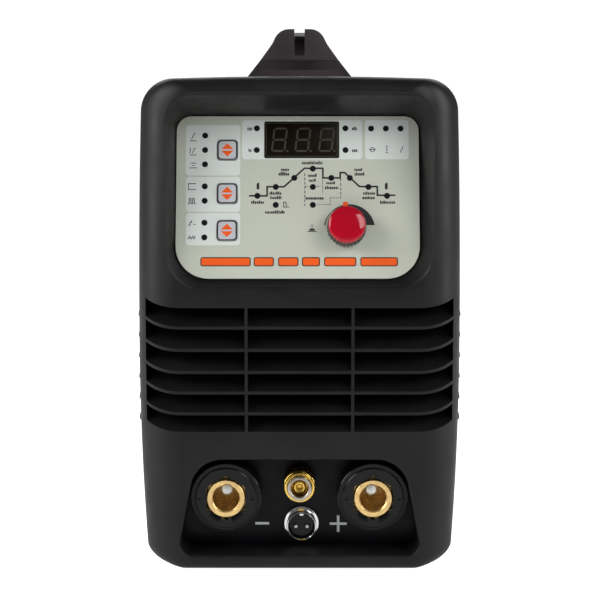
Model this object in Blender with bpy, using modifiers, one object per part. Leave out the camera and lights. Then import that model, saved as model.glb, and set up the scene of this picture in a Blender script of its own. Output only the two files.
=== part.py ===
"""A portable TIG welding machine, modelled as separate parts.

The machine stands on its feet: +Z is up, the front faces -Y, and the origin is on the floor
below its centre. Builders work in millimetres and in flat drawing frames (x right, y up,
z out of the drawing); each object is then scaled to metres and parented to its frame.
"""

import math

import bmesh
import bpy
from mathutils import Matrix, Vector

MM = 0.001
GAP = 0.3  # clearance between touching parts

# Overall: end mouldings, casing between them
FRONT_Y = -195.0
BACK_Y = 175.0
MOULDING_DEPTH = 42.0
HALF_WIDTH = 80.75
CROWN_HEIGHT = 113.0
CROWN_UPPER = 1.42e-4
CROWN_LOWER = 3.25e-4
MOULDING_BOTTOM = 5.0
MOULDING_TOP = 249.0
TOP_ARCH = 1.0
SIDE_ROUND = 22.0
TOP_ROUND = 8.0
BOTTOM_ROUND = 4.0
TOP_CORNER = (16.5, 16.5)
BOTTOM_CORNER = (16.0, 10.0)
CORNER_TIGHTENING = 0.55  # share of the edge round taken off a corner's radius
WALL = 3.0
CASING_FRONT = FRONT_Y + MOULDING_DEPTH + GAP
CASING_BACK = BACK_Y - MOULDING_DEPTH - GAP
RIGHT_ANGLE = math.pi / 2

# Casing cover, tray and louvres
CASING_HALF_WIDTH = 79.3
CASING_TOP = 243.5
CASING_BOTTOM = 6.0
CASING_CORNER = 12.0
SHEET = 1.2
LOUVRE_TOP = 133.4
LOUVRE_PITCH = 10.9
LOUVRE_COUNT = 6
LOUVRE_HEIGHT = 7.0
LOUVRE_BULGE = 5.2
LOUVRE_SPAN = (-151.0, -85.0)
LOUVRE_TAPER = 7.0
TRAY_FLOOR = MOULDING_BOTTOM + WALL + GAP
TRAY_HALF_WIDTH = CASING_HALF_WIDTH - SHEET - GAP
TRAY_FLANGE = 20.0
TRAY_TONGUE = (56.0, 13.0)
TONGUE_RELIEF = 0.1
FOOT_PLACES = {
    "front_left": (-60.0, -135.0),
    "front_right": (60.0, -135.0),
    "rear_left": (-60.0, 115.0),
    "rear_right": (60.0, 115.0),
}
FOOT_RADIUS = 9.0

# Control panel: a plane leaning back, its frame at the label's bottom edge
PANEL_LEAN = math.radians(16.0)
PANEL_BOTTOM = 151.2
PANEL_DEPTH = 5.0
LABEL_MIDDLE = -0.9
LABEL_HALF_WIDTH = 60.3
LABEL_HEIGHT = 82.2
LABEL_TOP_CORNER = 7.4
LABEL_BOTTOM_CORNER = 16.4
LABEL_THICKNESS = 1.0
RIM_HALF_WIDTH = 65.4
RIM_BOTTOM = 148.0
RIM_TOP = 240.5
RIM_TOP_CORNER = 12.0
RIM_BOTTOM_CORNER = 19.0
POCKET_WALL = 2.5
WINDOW_HALF_WIDTH = 56.0
WINDOW_SPAN = (5.0, 80.6)
DISPLAY_CENTRE = (1.1, 70.2)
DISPLAY_SIZE = (36.8, 18.3)
KEY_X = -35.9
KEY_HEIGHTS = {"upper": 64.8, "middle": 42.7, "lower": 24.0}
KEY_SIZE = (9.8, 10.1)
KEY_MARGIN = 0.3
KNOB_CENTRE = (23.2, 25.1)
KNOB_RADIUS = 9.75
CAP_RADIUS = 9.15
KNOB_TOP = 12.0
BOARD_FACE = -9.5
BOARD_THICKNESS = 1.6
LED_RADIUS = 1.5
LED_PLACES = (
    [(-47.05, s) for s in (72.3, 64.9, 57.6, 46.4, 39.1, 28.0, 20.6)]
    + [(x, s) for x in (-21.3, 22.9) for s in (76.0, 64.9)]
    + [(x, 75.9) for x in (35.7, 43.1, 50.4)]
    + [(-20.9, 41.6), (-11.8, 46.1), (-2.6, 50.7), (6.6, 55.4), (15.8, 50.7)]
    + [(25.0, 50.7), (34.2, 46.1), (43.4, 41.6), (6.6, 46.1), (6.6, 37.0), (-11.8, 37.0)]
)

# Grille: slats rise towards the back
GRILLE_TOP = 137.15
GRILLE_BOTTOM = 75.4
SLAT_TOPS = (128.0, 116.9, 105.9, 95.6, 85.2)
SLAT_THICKNESS = 1.5
SLAT_RISE = math.tan(math.radians(24.5))
GRILLE_HALF_WIDTH = 76.4
GRILLE_DEPTH = 25.0
DIVIDER_X = 26.3
DIVIDER_WIDTH = 1.5

# Connector recess and what it holds (heights from the floor, depths from the front plane)
RECESS_TOP = (51.6, 60.9, 16.0)
RECESS_BOTTOM = (60.9, 12.4, 6.0)
RECESS_BLOCK = (66.0, 4.0, 66.0)
PLATE_DEPTH = 22.3
PLATE_THICKNESS = 3.0
SOCKET_X = 36.8
SOCKET_HEIGHT = 40.7
SOCKET_BORE = 6.5
SOCKET_HEX = 9.5
SOCKET_FACE = 3.0
SOCKET_DEPTH = 33.0
SOCKET_STUD = 8.0
BOSS_RADIUS = 17.85
BOSS_LIP = 15.3
BOSS_STEM = 14.0
LOCK_PIN_RADIUS = 2.9
LOCK_PIN_RISE = 4.5
LOCK_PIN_SHIFTS = {"negative": 0.6, "positive": -1.0}
BUSBAR_DEPTH = (27.3, 29.8)
GAS_HEIGHT = 46.35
TRIGGER_PLACE = (1.0, 23.6)
TRIGGER_PIN_X = 2.85
GAS_STEM_RADIUS = 5.0
TRIGGER_SHELL_RADIUS = 7.6

# Handle
HANDLE_MIDDLE = -10.0
HANDLE_HALF_LENGTH = 139.0
HANDLE_BASE = CASING_TOP + GAP
HANDLE_CREST = 273.9
PLATE_FLANK = ((31.3, HANDLE_BASE), (19.6, 258.6), (14.4, 266.3))
CREST_HALF_WIDTH = 10.6
CREST_CORNER = 7.0
LEG_PLATE = 6.5
STRAP_CHANNEL = 12.5
GRIP_HALF_WIDTH = 12.0
GRIP_END_TOP = 270.5
GRIP_MIDDLE_TOP = 275.6
GRIP_THICKNESS = 9.0
STRAP_SLOT = (18.3, 253.4, 258.1)
CREST_NOTCH = (2.6, 260.6)

# Fan and back panel fittings
FAN_HEIGHT = 95.0
FAN_HALF = 46.0
FAN_BORE = 43.0
FAN_DEPTH = 25.0
FAN_SCREW = 41.25
SWITCH_PLACE = (0.0, 203.0)
SWITCH_HALF = (13.5, 10.5)
SWITCH_WALL = 1.5
ROCKER_PIVOT = -3.0
ROCKER_TILT = math.radians(9)  # either way from level, so the throw is twice this
ROCKER_LEVEL = ((-8.2, 0.6), (0, -0.9), (8.2, 0.6), (7.8, -3.0), (3.0, -5.0), (-3.0, -5.0), (-7.8, -3.0))
GLAND_PLACE = (46.0, 203.0)
INLET_PLACE = (-46.0, 32.0)
REAR_REACH = 21.85
GLAND_NECK = 10.0
GLAND_BORE = 5.5
INLET_STEM = 5.0
HOSE_RADIUS = 3.4
FAN_BLADES = 7
HUB_RADIUS = 17.5

# Inside
BOARD_HEIGHT = 68.0
POWER_BOARD = (64.0, -118.0, 82.0)
PILLARS = [(x, y) for x in (-58.0, 58.0) for y in (-110.0, 52.0)]

FINISHES = {
    "black_plastic": ((0.022, 0.023, 0.024), 0.5, 0.0),
    "handle_plastic": ((0.035, 0.031, 0.03), 0.6, 0.0),
    "gloss_black": ((0.008, 0.008, 0.009), 0.12, 0.0),
    "black_paint": ((0.02, 0.02, 0.021), 0.45, 0.0),
    "tray_steel": ((0.45, 0.46, 0.48), 0.4, 1.0),
    "rubber": ((0.02, 0.02, 0.02), 0.85, 0.0),
    "label": ((0.56, 0.57, 0.49), 0.45, 0.0),
    "display_tint": ((0.02, 0.012, 0.008), 0.1, 0.0),
    "led_body": ((0.03, 0.03, 0.03), 0.3, 0.0),
    "key_grey": ((0.5, 0.5, 0.5), 0.5, 0.0),
    "knob_red": ((0.42, 0.0, 0.012), 0.2, 0.0),
    "knob_grey": ((0.06, 0.06, 0.06), 0.45, 0.0),
    "board_green": ((0.02, 0.12, 0.05), 0.5, 0.0),
    "brass": ((0.72, 0.5, 0.17), 0.28, 1.0),
    "steel": ((0.6, 0.6, 0.6), 0.3, 1.0),
    "chrome": ((0.85, 0.85, 0.85), 0.08, 1.0),
    "aluminium": ((0.7, 0.7, 0.71), 0.35, 1.0),
    "copper": ((0.7, 0.32, 0.2), 0.3, 1.0),
    "ferrite": ((0.05, 0.05, 0.055), 0.6, 0.0),
    "hose_blue": ((0.03, 0.12, 0.4), 0.5, 0.0),
}


# Scene helpers

def clear_scene():
    for obj in list(bpy.data.objects):
        bpy.data.objects.remove(obj, do_unlink=True)


def new_collection(name):
    collection = bpy.data.collections.new(name)
    bpy.context.scene.collection.children.link(collection)
    return collection


def new_frame(name, location, rotation):
    frame = bpy.data.objects.new(name, None)
    frame.location = Vector(location) * MM
    frame.rotation_euler = rotation
    PARTS.objects.link(frame)
    return frame


def material(name):
    """The finish as a Principled material, made the first time it is asked for."""
    found = bpy.data.materials.get(name)
    if found:
        return found
    colour, roughness, metallic = FINISHES[name]
    made = bpy.data.materials.new(name)
    made.use_nodes = True
    shader = made.node_tree.nodes["Principled BSDF"]
    shader.inputs["Base Color"].default_value = (*colour, 1.0)
    shader.inputs["Roughness"].default_value = roughness
    shader.inputs["Metallic"].default_value = metallic
    made.diffuse_color = (*colour, 1.0)
    return made


def place(obj, frame, location):
    """Puts an object, drawn in millimetres, at its place in a frame."""
    obj.parent = frame
    obj.location = Vector(location) * MM


def add_mesh_object(name, mesh, frame, finish, location):
    obj = bpy.data.objects.new(name, mesh)
    place(obj, frame, location)
    if finish is None:
        CUTTERS.objects.link(obj)
        obj.hide_render = True
        obj.display_type = "WIRE"
    else:
        PARTS.objects.link(obj)
        mesh.materials.append(material(finish))
        mesh.shade_smooth()
        mesh.set_sharp_from_angle(angle=math.radians(35))
    return obj


def solid(name, bm, frame, finish=None, location=(0, 0, 0)):
    """Makes an object from closed shapes; without a finish it is a cutter."""
    bmesh.ops.recalc_face_normals(bm, faces=bm.faces)
    bmesh.ops.scale(bm, vec=(MM, MM, MM), verts=bm.verts)
    mesh = bpy.data.meshes.new(name)
    bm.to_mesh(mesh)
    bm.free()
    return add_mesh_object(name, mesh, frame, finish, location)


def boolean(target, tool, operation):
    modifier = target.modifiers.new(tool.name, "BOOLEAN")
    modifier.object = tool
    modifier.operation = operation
    modifier.solver = "EXACT"
    modifier.use_self = operation == "UNION"  # shapes that are united may cross each other


def cut(target, *tools):
    for tool in tools:
        boolean(target, tool, "DIFFERENCE")


def unite(target, *tools):
    for tool in tools:
        boolean(target, tool, "UNION")


# Shape helpers, all in millimetres

def box(bm, low, high):
    """Adds a box between two opposite corners."""
    verts = bmesh.ops.create_cube(bm, size=1.0)["verts"]
    low, high = Vector(low), Vector(high)
    bmesh.ops.scale(bm, vec=high - low, verts=verts)
    bmesh.ops.translate(bm, vec=(high + low) / 2, verts=verts)


def rod(bm, start, end, radius, sides=24, end_radius=None):
    """Adds a cylinder or a cone between two points."""
    start, end = Vector(start), Vector(end)
    turn = Vector((0, 0, 1)).rotation_difference(end - start).to_matrix().to_4x4()
    bmesh.ops.create_cone(
        bm,
        cap_ends=True,
        segments=sides,
        radius1=radius,
        radius2=radius if end_radius is None else end_radius,
        depth=(end - start).length,
        matrix=Matrix.Translation((start + end) / 2) @ turn,
    )


def post(bm, centre, low, high, radius, sides=24):
    """Adds a cylinder standing on the drawing plane."""
    rod(bm, (*centre, low), (*centre, high), radius, sides)


def hexagon(bm, centre, low, high, across_flats):
    post(bm, centre, low, high, across_flats / math.sqrt(3), sides=6)


def prism(bm, outline, low, high):
    """Adds an outline of (x, y) points raised from z = low to z = high."""
    face = bm.faces.new([bm.verts.new((x, y, low)) for x, y in outline])
    raised = bmesh.ops.extrude_face_region(bm, geom=[face])["geom"]
    top = [v for v in raised if isinstance(v, bmesh.types.BMVert)]
    bmesh.ops.translate(bm, vec=(0, 0, high - low), verts=top)


def loft(bm, rings):
    """Adds a closed solid whose skin runs through rings with equally many points."""
    layers = [[bm.verts.new(point) for point in ring] for ring in rings]
    for near, far in zip(layers, layers[1:]):
        for i, vert in enumerate(near):
            bm.faces.new((near[i - 1], vert, far[i], far[i - 1]))
    bm.faces.new(layers[0])
    bm.faces.new(layers[-1])


def rounded(corners, steps=4):
    """Points of a polygon whose corners (x, y, radius) are rounded by arcs."""
    points = []
    for i, (x, y, radius) in enumerate(corners):
        here = Vector((x, y))
        before = (Vector(corners[i - 1][:2]) - here).normalized()
        after = (Vector(corners[(i + 1) % len(corners)][:2]) - here).normalized()
        half = before.angle(after) / 2
        centre = here + (before + after).normalized() * (radius / math.sin(half))
        tangent = radius / math.tan(half)
        first = here + before * tangent - centre
        last = here + after * tangent - centre
        start = math.atan2(first.y, first.x)
        sweep = math.atan2(first.x * last.y - first.y * last.x, first.dot(last))
        for k in range(steps + 1):
            angle = start + sweep * k / steps
            points.append((centre.x + radius * math.cos(angle), centre.y + radius * math.sin(angle)))
    return points


def rounded_box(centre, half, radius, steps=4):
    """Points of a rectangle with rounded corners."""
    signs = ((1, -1), (1, 1), (-1, 1), (-1, -1))
    return rounded([(centre[0] + a * half[0], centre[1] + b * half[1], radius) for a, b in signs], steps)


def turned(name, profile, frame, finish=None, location=(0, 0, 0), sides=32, ring=False):
    """A part turned about local Z from (radius, height) points, outer side downwards."""
    mesh = bpy.data.meshes.new(name)
    edges = [(i, i + 1) for i in range(len(profile) - 1)]
    if ring:
        edges.append((len(profile) - 1, 0))
    mesh.from_pydata([(r * MM, 0, h * MM) for r, h in profile], edges, [])
    obj = add_mesh_object(name, mesh, frame, finish, location)
    screw = obj.modifiers.new("turn", "SCREW")
    screw.steps = screw.render_steps = sides
    screw.use_merge_vertices = True
    screw.merge_threshold = 1e-5
    screw.use_smooth_shade = True
    return obj


def tube_profile(outer, inner, low, high):
    return [(outer, high), (outer, low), (inner, low), (inner, high)]


def sheet(name, path, low, high, frame, finish):
    """Bent sheet metal: a path in the drawing plane, drawn out from z = low to z = high."""
    bm = bmesh.new()
    near = [bm.verts.new((x, y, low)) for x, y in path]
    far = [bm.verts.new((x, y, high)) for x, y in path]
    for i in range(len(path) - 1):
        bm.faces.new((near[i], near[i + 1], far[i + 1], far[i]))
    bmesh.ops.scale(bm, vec=(MM, MM, MM), verts=bm.verts)
    mesh = bpy.data.meshes.new(name)
    bm.to_mesh(mesh)
    bm.free()
    obj = add_mesh_object(name, mesh, frame, finish, (0, 0, 0))
    skin = obj.modifiers.new("thickness", "SOLIDIFY")
    skin.thickness = SHEET * MM
    skin.offset = -1
    skin.use_even_offset = True
    return obj


def smooth_route(points, spacing):
    """Points about every spacing along a Catmull-Rom curve through a route."""
    route = [Vector(p) for p in points]
    route = [2 * route[0] - route[1], *route, 2 * route[-1] - route[-2]]
    line = []
    for a, b, c, d in zip(route, route[1:], route[2:], route[3:]):
        count = max(1, round((c - b).length / spacing))
        for k in range(count):
            t = k / count
            line.append(
                0.5 * (2 * b + (c - a) * t + (2 * a - 5 * b + 4 * c - d) * t * t
                       + (3 * b - 3 * c + d - a) * t ** 3)
            )
    return [*line, route[-2]]


def hose(name, points, radius, finish):
    """A hose along a route given in world millimetres."""
    curve = bpy.data.curves.new(name, "CURVE")
    curve.dimensions = "3D"
    curve.bevel_depth = radius * MM
    curve.bevel_resolution = 2
    curve.use_fill_caps = True
    line = smooth_route(points, spacing=5 * radius)
    spline = curve.splines.new("POLY")
    spline.points.add(len(line) - 1)
    for target, point in zip(spline.points, line):
        target.co = (*(point * MM), 1.0)
    curve.materials.append(material(finish))
    obj = bpy.data.objects.new(name, curve)
    PARTS.objects.link(obj)


# End mouldings

def quarter(radius, depth):
    """How far a quarter-round edge lies inside the full outline at a depth below its face."""
    if depth >= radius:
        return 0.0
    return radius - math.sqrt(radius ** 2 - (radius - depth) ** 2)


def half_width(height):
    """Half the mouldings' width at a height: their sides are slightly crowned."""
    rise = height - CROWN_HEIGHT
    return HALF_WIDTH - (CROWN_UPPER if rise > 0 else CROWN_LOWER) * rise ** 2


def corner_arc(centre, radii, start, steps=4):
    angles = [math.radians(start + 90 * k / steps) for k in range(steps + 1)]
    return [(centre[0] + radii[0] * math.cos(a), centre[1] + radii[1] * math.sin(a)) for a in angles]


def moulding_ring(depth, wall=0.0):
    """An end moulding's outline at a depth behind its face, wall millimetres inside its skin."""
    side, top, bottom = (
        wall + quarter(edge - wall if edge > wall else 0.5, max(depth - wall, 0))
        for edge in (SIDE_ROUND, TOP_ROUND, BOTTOM_ROUND)
    )
    low, high = MOULDING_BOTTOM + bottom, MOULDING_TOP - top
    low_radii = [max(r - CORNER_TIGHTENING * inset, 2) for r, inset in zip(BOTTOM_CORNER, (side, bottom))]
    high_radii = [max(r - CORNER_TIGHTENING * inset, 2) for r, inset in zip(TOP_CORNER, (side, top))]
    low_end, high_start = low + low_radii[1], high - high_radii[1]
    right = corner_arc((half_width(low_end) - side - low_radii[0], low_end), low_radii, -90)
    side_steps = 4
    for k in range(1, side_steps):
        height = low_end + (high_start - low_end) * k / side_steps
        right.append((half_width(height) - side, height))
    arch_start = half_width(high_start) - side - high_radii[0]
    right += corner_arc((arch_start, high_start), high_radii, 0)
    right.append((arch_start / 2, high + TOP_ARCH * 0.75))
    ring = right + [(0, high + TOP_ARCH)] + [(-x, y) for x, y in reversed(right)]
    return [(x, y, -depth) for x, y in ring]


def moulding_shell(name, frame):
    """The outer skin of an end moulding, with the tool that hollows it from behind."""
    outer = bmesh.new()
    loft(outer, [moulding_ring(d) for d in (0, 1.2, 4, 8, 14, SIDE_ROUND, MOULDING_DEPTH)])
    hollow = bmesh.new()
    loft(hollow, [moulding_ring(d, WALL) for d in (WALL, 7, SIDE_ROUND, MOULDING_DEPTH + 1)])
    return solid(name, outer, frame, "black_plastic"), solid(name + "_hollow", hollow, frame)


def panel_point(x, up, out=0.0):
    """A point of the leaning panel in the front drawing frame."""
    rise = up * math.cos(PANEL_LEAN) + out * math.sin(PANEL_LEAN)
    forward = out * math.cos(PANEL_LEAN) - up * math.sin(PANEL_LEAN)
    return x, PANEL_BOTTOM + rise, forward - PANEL_DEPTH


def label_outline(margin=0.0, steps=5):
    left, right = (LABEL_MIDDLE + side * (LABEL_HALF_WIDTH + margin) for side in (-1, 1))
    top, bottom = LABEL_TOP_CORNER + margin, LABEL_BOTTOM_CORNER + margin
    low, high = -margin, LABEL_HEIGHT + margin
    return rounded([(right, low, bottom), (right, high, top), (left, high, top), (left, low, bottom)], steps)


def rim_outline(margin=0.0):
    wide, low, high = RIM_HALF_WIDTH + margin, RIM_BOTTOM - margin, RIM_TOP + margin
    top, bottom = RIM_TOP_CORNER + margin, RIM_BOTTOM_CORNER + margin
    return rounded([(wide, low, bottom), (wide, high, top), (-wide, high, top), (-wide, low, bottom)], 5)


def panel_pocket(name, margin, fronts, floor):
    """The pocket the label lies in: straight between the fronts, then back to the leaning floor."""
    bm = bmesh.new()
    rims = [[(x, y, front) for x, y in rim_outline(margin)] for front in fronts]
    back = [panel_point(x, up, floor) for x, up in label_outline(0.4 + margin)]
    loft(bm, [*rims, back])
    return solid(name, bm, FRONT)


def recess_outline():
    """The connector recess, narrower at the top."""
    right = [RECESS_BOTTOM, RECESS_TOP]
    return rounded(right + [(-x, y, radius) for x, y, radius in reversed(right)], 6)


def grille_tools():
    """The block that carries the slats, and the sloping openings between them."""
    block = bmesh.new()
    box(block, (-HALF_WIDTH + 2, GRILLE_BOTTOM - 3, -GRILLE_DEPTH), (HALF_WIDTH - 2, GRILLE_TOP + 12, 2))
    openings = bmesh.new()
    tops = [GRILLE_TOP] + [top - SLAT_THICKNESS for top in SLAT_TOPS]
    bottoms = [*SLAT_TOPS, GRILLE_BOTTOM]
    edge = DIVIDER_X - DIVIDER_WIDTH / 2, DIVIDER_X + DIVIDER_WIDTH / 2
    columns = ((-GRILLE_HALF_WIDTH, -edge[1]), (-edge[0], edge[0]), (edge[1], GRILLE_HALF_WIDTH))
    ahead, behind = 2.0, GRILLE_DEPTH + 2
    for top, bottom in zip(tops, bottoms):
        for left, right in columns:
            corners = ((left, bottom), (right, bottom), (right, top), (left, top))
            loft(openings, [[(x, y - ahead * SLAT_RISE, ahead) for x, y in corners],
                            [(x, y + behind * SLAT_RISE, -behind) for x, y in corners]])
    return solid("grille_block", block, FRONT), solid("grille_openings", openings, FRONT)


def build_bezel():
    bezel, hollow = moulding_shell("front_bezel", FRONT)
    floor = -LABEL_THICKNESS - GAP
    keep_pocket = panel_pocket("pocket_wall", POCKET_WALL, (-1.0,), floor - POCKET_WALL)
    block, openings = grille_tools()
    half, low, high = RECESS_BLOCK
    keep_recess = bmesh.new()
    box(keep_recess, (-half, low, -PLATE_DEPTH + GAP), (half, high, 2))
    cut(hollow, keep_pocket, block, solid("recess_block", keep_recess, FRONT))
    recess = bmesh.new()
    prism(recess, recess_outline(), -PLATE_DEPTH - 2, 2)
    window = bmesh.new()
    box(window, (-WINDOW_HALF_WIDTH, WINDOW_SPAN[0], -12), (WINDOW_HALF_WIDTH, WINDOW_SPAN[1], 1))
    cut(bezel, hollow, panel_pocket("pocket", 0.0, (2.0, 0.0), floor), openings, solid("recess", recess, FRONT),
        solid("label_window", window, PANEL))


def build_rear_panel():
    panel, hollow = moulding_shell("rear_panel", REAR)
    holes = bmesh.new()
    post(holes, (0, FAN_HEIGHT), -WALL - 1, 1, FAN_BORE, sides=28)
    low = [SWITCH_PLACE[i] - SWITCH_HALF[i] - GAP for i in (0, 1)]
    high = [SWITCH_PLACE[i] + SWITCH_HALF[i] + GAP for i in (0, 1)]
    box(holes, (*low, -WALL - 1), (*high, 1))
    post(holes, GLAND_PLACE, -WALL - 1, 1, GLAND_NECK + GAP, sides=24)
    post(holes, INLET_PLACE, -WALL - 1, 1, INLET_STEM + GAP, sides=20)
    cut(panel, hollow, solid("rear_holes", holes, REAR))


# Casing

def louvre(bm, side, top, inset):
    """Adds one pressed louvre as a solid wedge; inset shrinks it to the space below its hood."""
    front, back = LOUVRE_SPAN
    base = side * (CASING_HALF_WIDTH - (3 if inset else 0.6))
    lip = side * (CASING_HALF_WIDTH + LOUVRE_BULGE - inset)
    low = top - LOUVRE_HEIGHT - (1.0 if inset else 0)
    points = [(base, y, z) for y in (front + inset, back - inset) for z in (low, top - 1.5 * inset)]
    points += [(lip, y, low) for y in (front + LOUVRE_TAPER, back - LOUVRE_TAPER)]
    verts = [bm.verts.new(p) for p in points]
    bmesh.ops.convex_hull(bm, input=verts)


def build_casing():
    corner = CASING_CORNER
    straight = CASING_HALF_WIDTH - corner
    arc = corner_arc((straight, CASING_TOP - corner), (corner, corner), 0)
    right = [(CASING_HALF_WIDTH, CASING_BOTTOM), *arc]
    path = right + [(-x, y) for x, y in reversed(right)]
    cover = sheet("casing_cover", path, -CASING_BACK, -CASING_FRONT, CROSS_SECTION, "black_paint")
    hoods, hollows = bmesh.new(), bmesh.new()
    for side in (-1, 1):
        for k in range(LOUVRE_COUNT):
            louvre(hoods, side, LOUVRE_TOP - k * LOUVRE_PITCH, 0)
            louvre(hollows, side, LOUVRE_TOP - k * LOUVRE_PITCH, 1.0)
    unite(cover, solid("louvre_hoods", hoods, WORLD))
    cut(cover, solid("louvre_hollows", hollows, WORLD))


def build_tray():
    wide, flange = TRAY_HALF_WIDTH, TRAY_FLOOR + TRAY_FLANGE
    path = [(-wide, flange), (-wide, TRAY_FLOOR), (wide, TRAY_FLOOR), (wide, flange)]
    tray = sheet("base_tray", path, -CASING_BACK + GAP, -CASING_FRONT - GAP, CROSS_SECTION, "tray_steel")
    half, reach = TRAY_TONGUE
    tongues = bmesh.new()
    low, high = TRAY_FLOOR + TONGUE_RELIEF, TRAY_FLOOR + SHEET - TONGUE_RELIEF
    box(tongues, (-half, CASING_FRONT - reach, low), (half, CASING_FRONT + 5, high))
    box(tongues, (-half, CASING_BACK - 5, low), (half, CASING_BACK + reach, high))
    pillars, feet = bmesh.new(), bmesh.new()
    for x, y in PILLARS:
        rod(pillars, (x, y, TRAY_FLOOR + SHEET / 2), (x, y, BOARD_HEIGHT - GAP), 3.5, sides=6)
    unite(tray, solid("tray_tongues", tongues, WORLD), solid("pressed_in_pillars", pillars, WORLD))
    for x, y in FOOT_PLACES.values():
        rod(feet, (x, y, TRAY_FLOOR - 2), (x, y, TRAY_FLOOR + 3), 3.5, sides=10)
    cut(tray, solid("foot_holes", feet, WORLD))


def build_feet():
    """Push-in rubber feet: a stem through the tray ends in a barb."""
    for name, (x, y) in FOOT_PLACES.items():
        foot, stem, barb = bmesh.new(), bmesh.new(), bmesh.new()
        above = TRAY_FLOOR + SHEET + GAP
        rod(foot, (0, 0, 0), (0, 0, TRAY_FLOOR - GAP), FOOT_RADIUS - 1, 16, end_radius=FOOT_RADIUS)
        rod(stem, (0, 0, 4), (0, 0, above + 1), 3.1, sides=10)
        rod(barb, (0, 0, above), (0, 0, above + 3), 4.2, 10, end_radius=2.5)
        at = (x, y, 0)
        unite(solid(f"rubber_foot_{name}", foot, WORLD, "rubber", at),
              solid(f"foot_stem_{name}", stem, WORLD, location=at),
              solid(f"foot_barb_{name}", barb, WORLD, location=at))


# Handle

def crest_outline():
    """Front view of a strap plate: flanks run in to a rounded crest."""
    right = [(x, z, r) for (x, z), r in zip(PLATE_FLANK, (0.5, 30.0, 12.0))]
    right.append((CREST_HALF_WIDTH, HANDLE_CREST, CREST_CORNER))
    return rounded(right + [(-x, y, r) for x, y, r in reversed(right)], 3)


def side_profile():
    """Side view of the grip with its legs, as (along, height) points about the handle's middle."""
    start = HANDLE_HALF_LENGTH - LEG_PLATE - STRAP_CHANNEL
    steps = 6
    sagitta = GRIP_MIDDLE_TOP - GRIP_END_TOP
    top = []
    for k in range(steps + 1):
        along = start * k / steps
        top.append((along, GRIP_MIDDLE_TOP - sagitta * (along / start) ** 2))
    leg_inner, arc = start - 26.0, 20.0
    under = GRIP_MIDDLE_TOP - GRIP_THICKNESS
    rise = under - HANDLE_BASE
    inner = []
    for k in range(steps + 1):
        angle = RIGHT_ANGLE * k / steps
        inner.append((leg_inner - arc * (1 - math.cos(angle)), HANDLE_BASE + rise * math.sin(angle)))
    half = top + [(start, HANDLE_BASE)] + inner
    return [(-a, z) for a, z in reversed(half[1:])] + half


def build_handle():
    wide = GRIP_HALF_WIDTH
    grip = bmesh.new()
    prism(grip, side_profile(), -PLATE_FLANK[0][0], PLATE_FLANK[0][0])
    handle = solid("handle", grip, LENGTHWISE, "handle_plastic", (HANDLE_MIDDLE, 0, 0))
    flank = bmesh.new()
    legs = [(PLATE_FLANK[0][0], HANDLE_BASE - 2, 1.0), (*PLATE_FLANK[1], 25.0), (wide, 265.0, 12.0),
            (wide, 280.0, 4.0)]
    prism(flank, rounded(legs + [(-x, y, r) for x, y, r in reversed(legs)], 3), -200, 200)
    boolean(handle, solid("grip_flanks", flank, CROSS_SECTION), "INTERSECT")
    plates, slots = bmesh.new(), bmesh.new()
    for end in (-1, 1):
        face = HANDLE_MIDDLE + end * HANDLE_HALF_LENGTH
        inner = face - end * LEG_PLATE
        behind = inner - end * (STRAP_CHANNEL + 2)
        near, far = sorted((-face, -inner))
        prism(plates, crest_outline(), near, far)
        near, far = sorted((-inner, -behind))
        web = [(11.5, 268.8), (10.4, GRIP_END_TOP), (-10.4, GRIP_END_TOP), (-11.5, 268.8)]
        prism(plates, web, near - 0.5, far + 0.5)
        foot = [(29.0, HANDLE_BASE), (26.0, 248.6), (-26.0, 248.6), (-29.0, HANDLE_BASE)]
        prism(plates, foot, near - 0.5, far + 0.5)
        half, low, high = STRAP_SLOT
        near, far = sorted((-face - end, end - inner))
        slot = [(half, low, 0.8), (half, high, 2.0), (-half, high, 2.0), (-half, low, 0.8)]
        prism(slots, rounded(slot, 3), near, far)
        notch, floor = CREST_NOTCH
        box(slots, (-notch, floor, near), (notch, HANDLE_CREST + 2, far))
    unite(handle, solid("strap_plates", plates, CROSS_SECTION))
    cut(handle, solid("strap_slots", slots, CROSS_SECTION))


# Control panel

def build_label():
    bm = bmesh.new()
    prism(bm, label_outline(), -LABEL_THICKNESS, 0)
    holes = bmesh.new()
    half = [size / 2 + GAP for size in DISPLAY_SIZE]
    prism(holes, rounded_box(DISPLAY_CENTRE, half, 0.8, 2), -3, 2)
    for height in KEY_HEIGHTS.values():
        half = [size / 2 + KEY_MARGIN for size in KEY_SIZE]
        prism(holes, rounded_box((KEY_X, height), half, 2.0, 3), -3, 2)
    post(holes, KNOB_CENTRE, -3, 2, 3.7, sides=20)
    cut(solid("control_label", bm, PANEL, "label"), solid("label_holes", holes, PANEL))


def build_display():
    half = [size / 2 for size in DISPLAY_SIZE]
    window = bmesh.new()
    prism(window, rounded_box(DISPLAY_CENTRE, half, 0.6, 2), -1.6, -0.1)
    solid("display_window", window, PANEL, "display_tint")
    module = bmesh.new()
    low = [c - h - 0.5 for c, h in zip(DISPLAY_CENTRE, half)]
    high = [c + h + 0.5 for c, h in zip(DISPLAY_CENTRE, half)]
    box(module, (*low, BOARD_FACE + GAP), (*high, -1.6 - GAP))
    solid("display_module", module, PANEL, "led_body")


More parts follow.
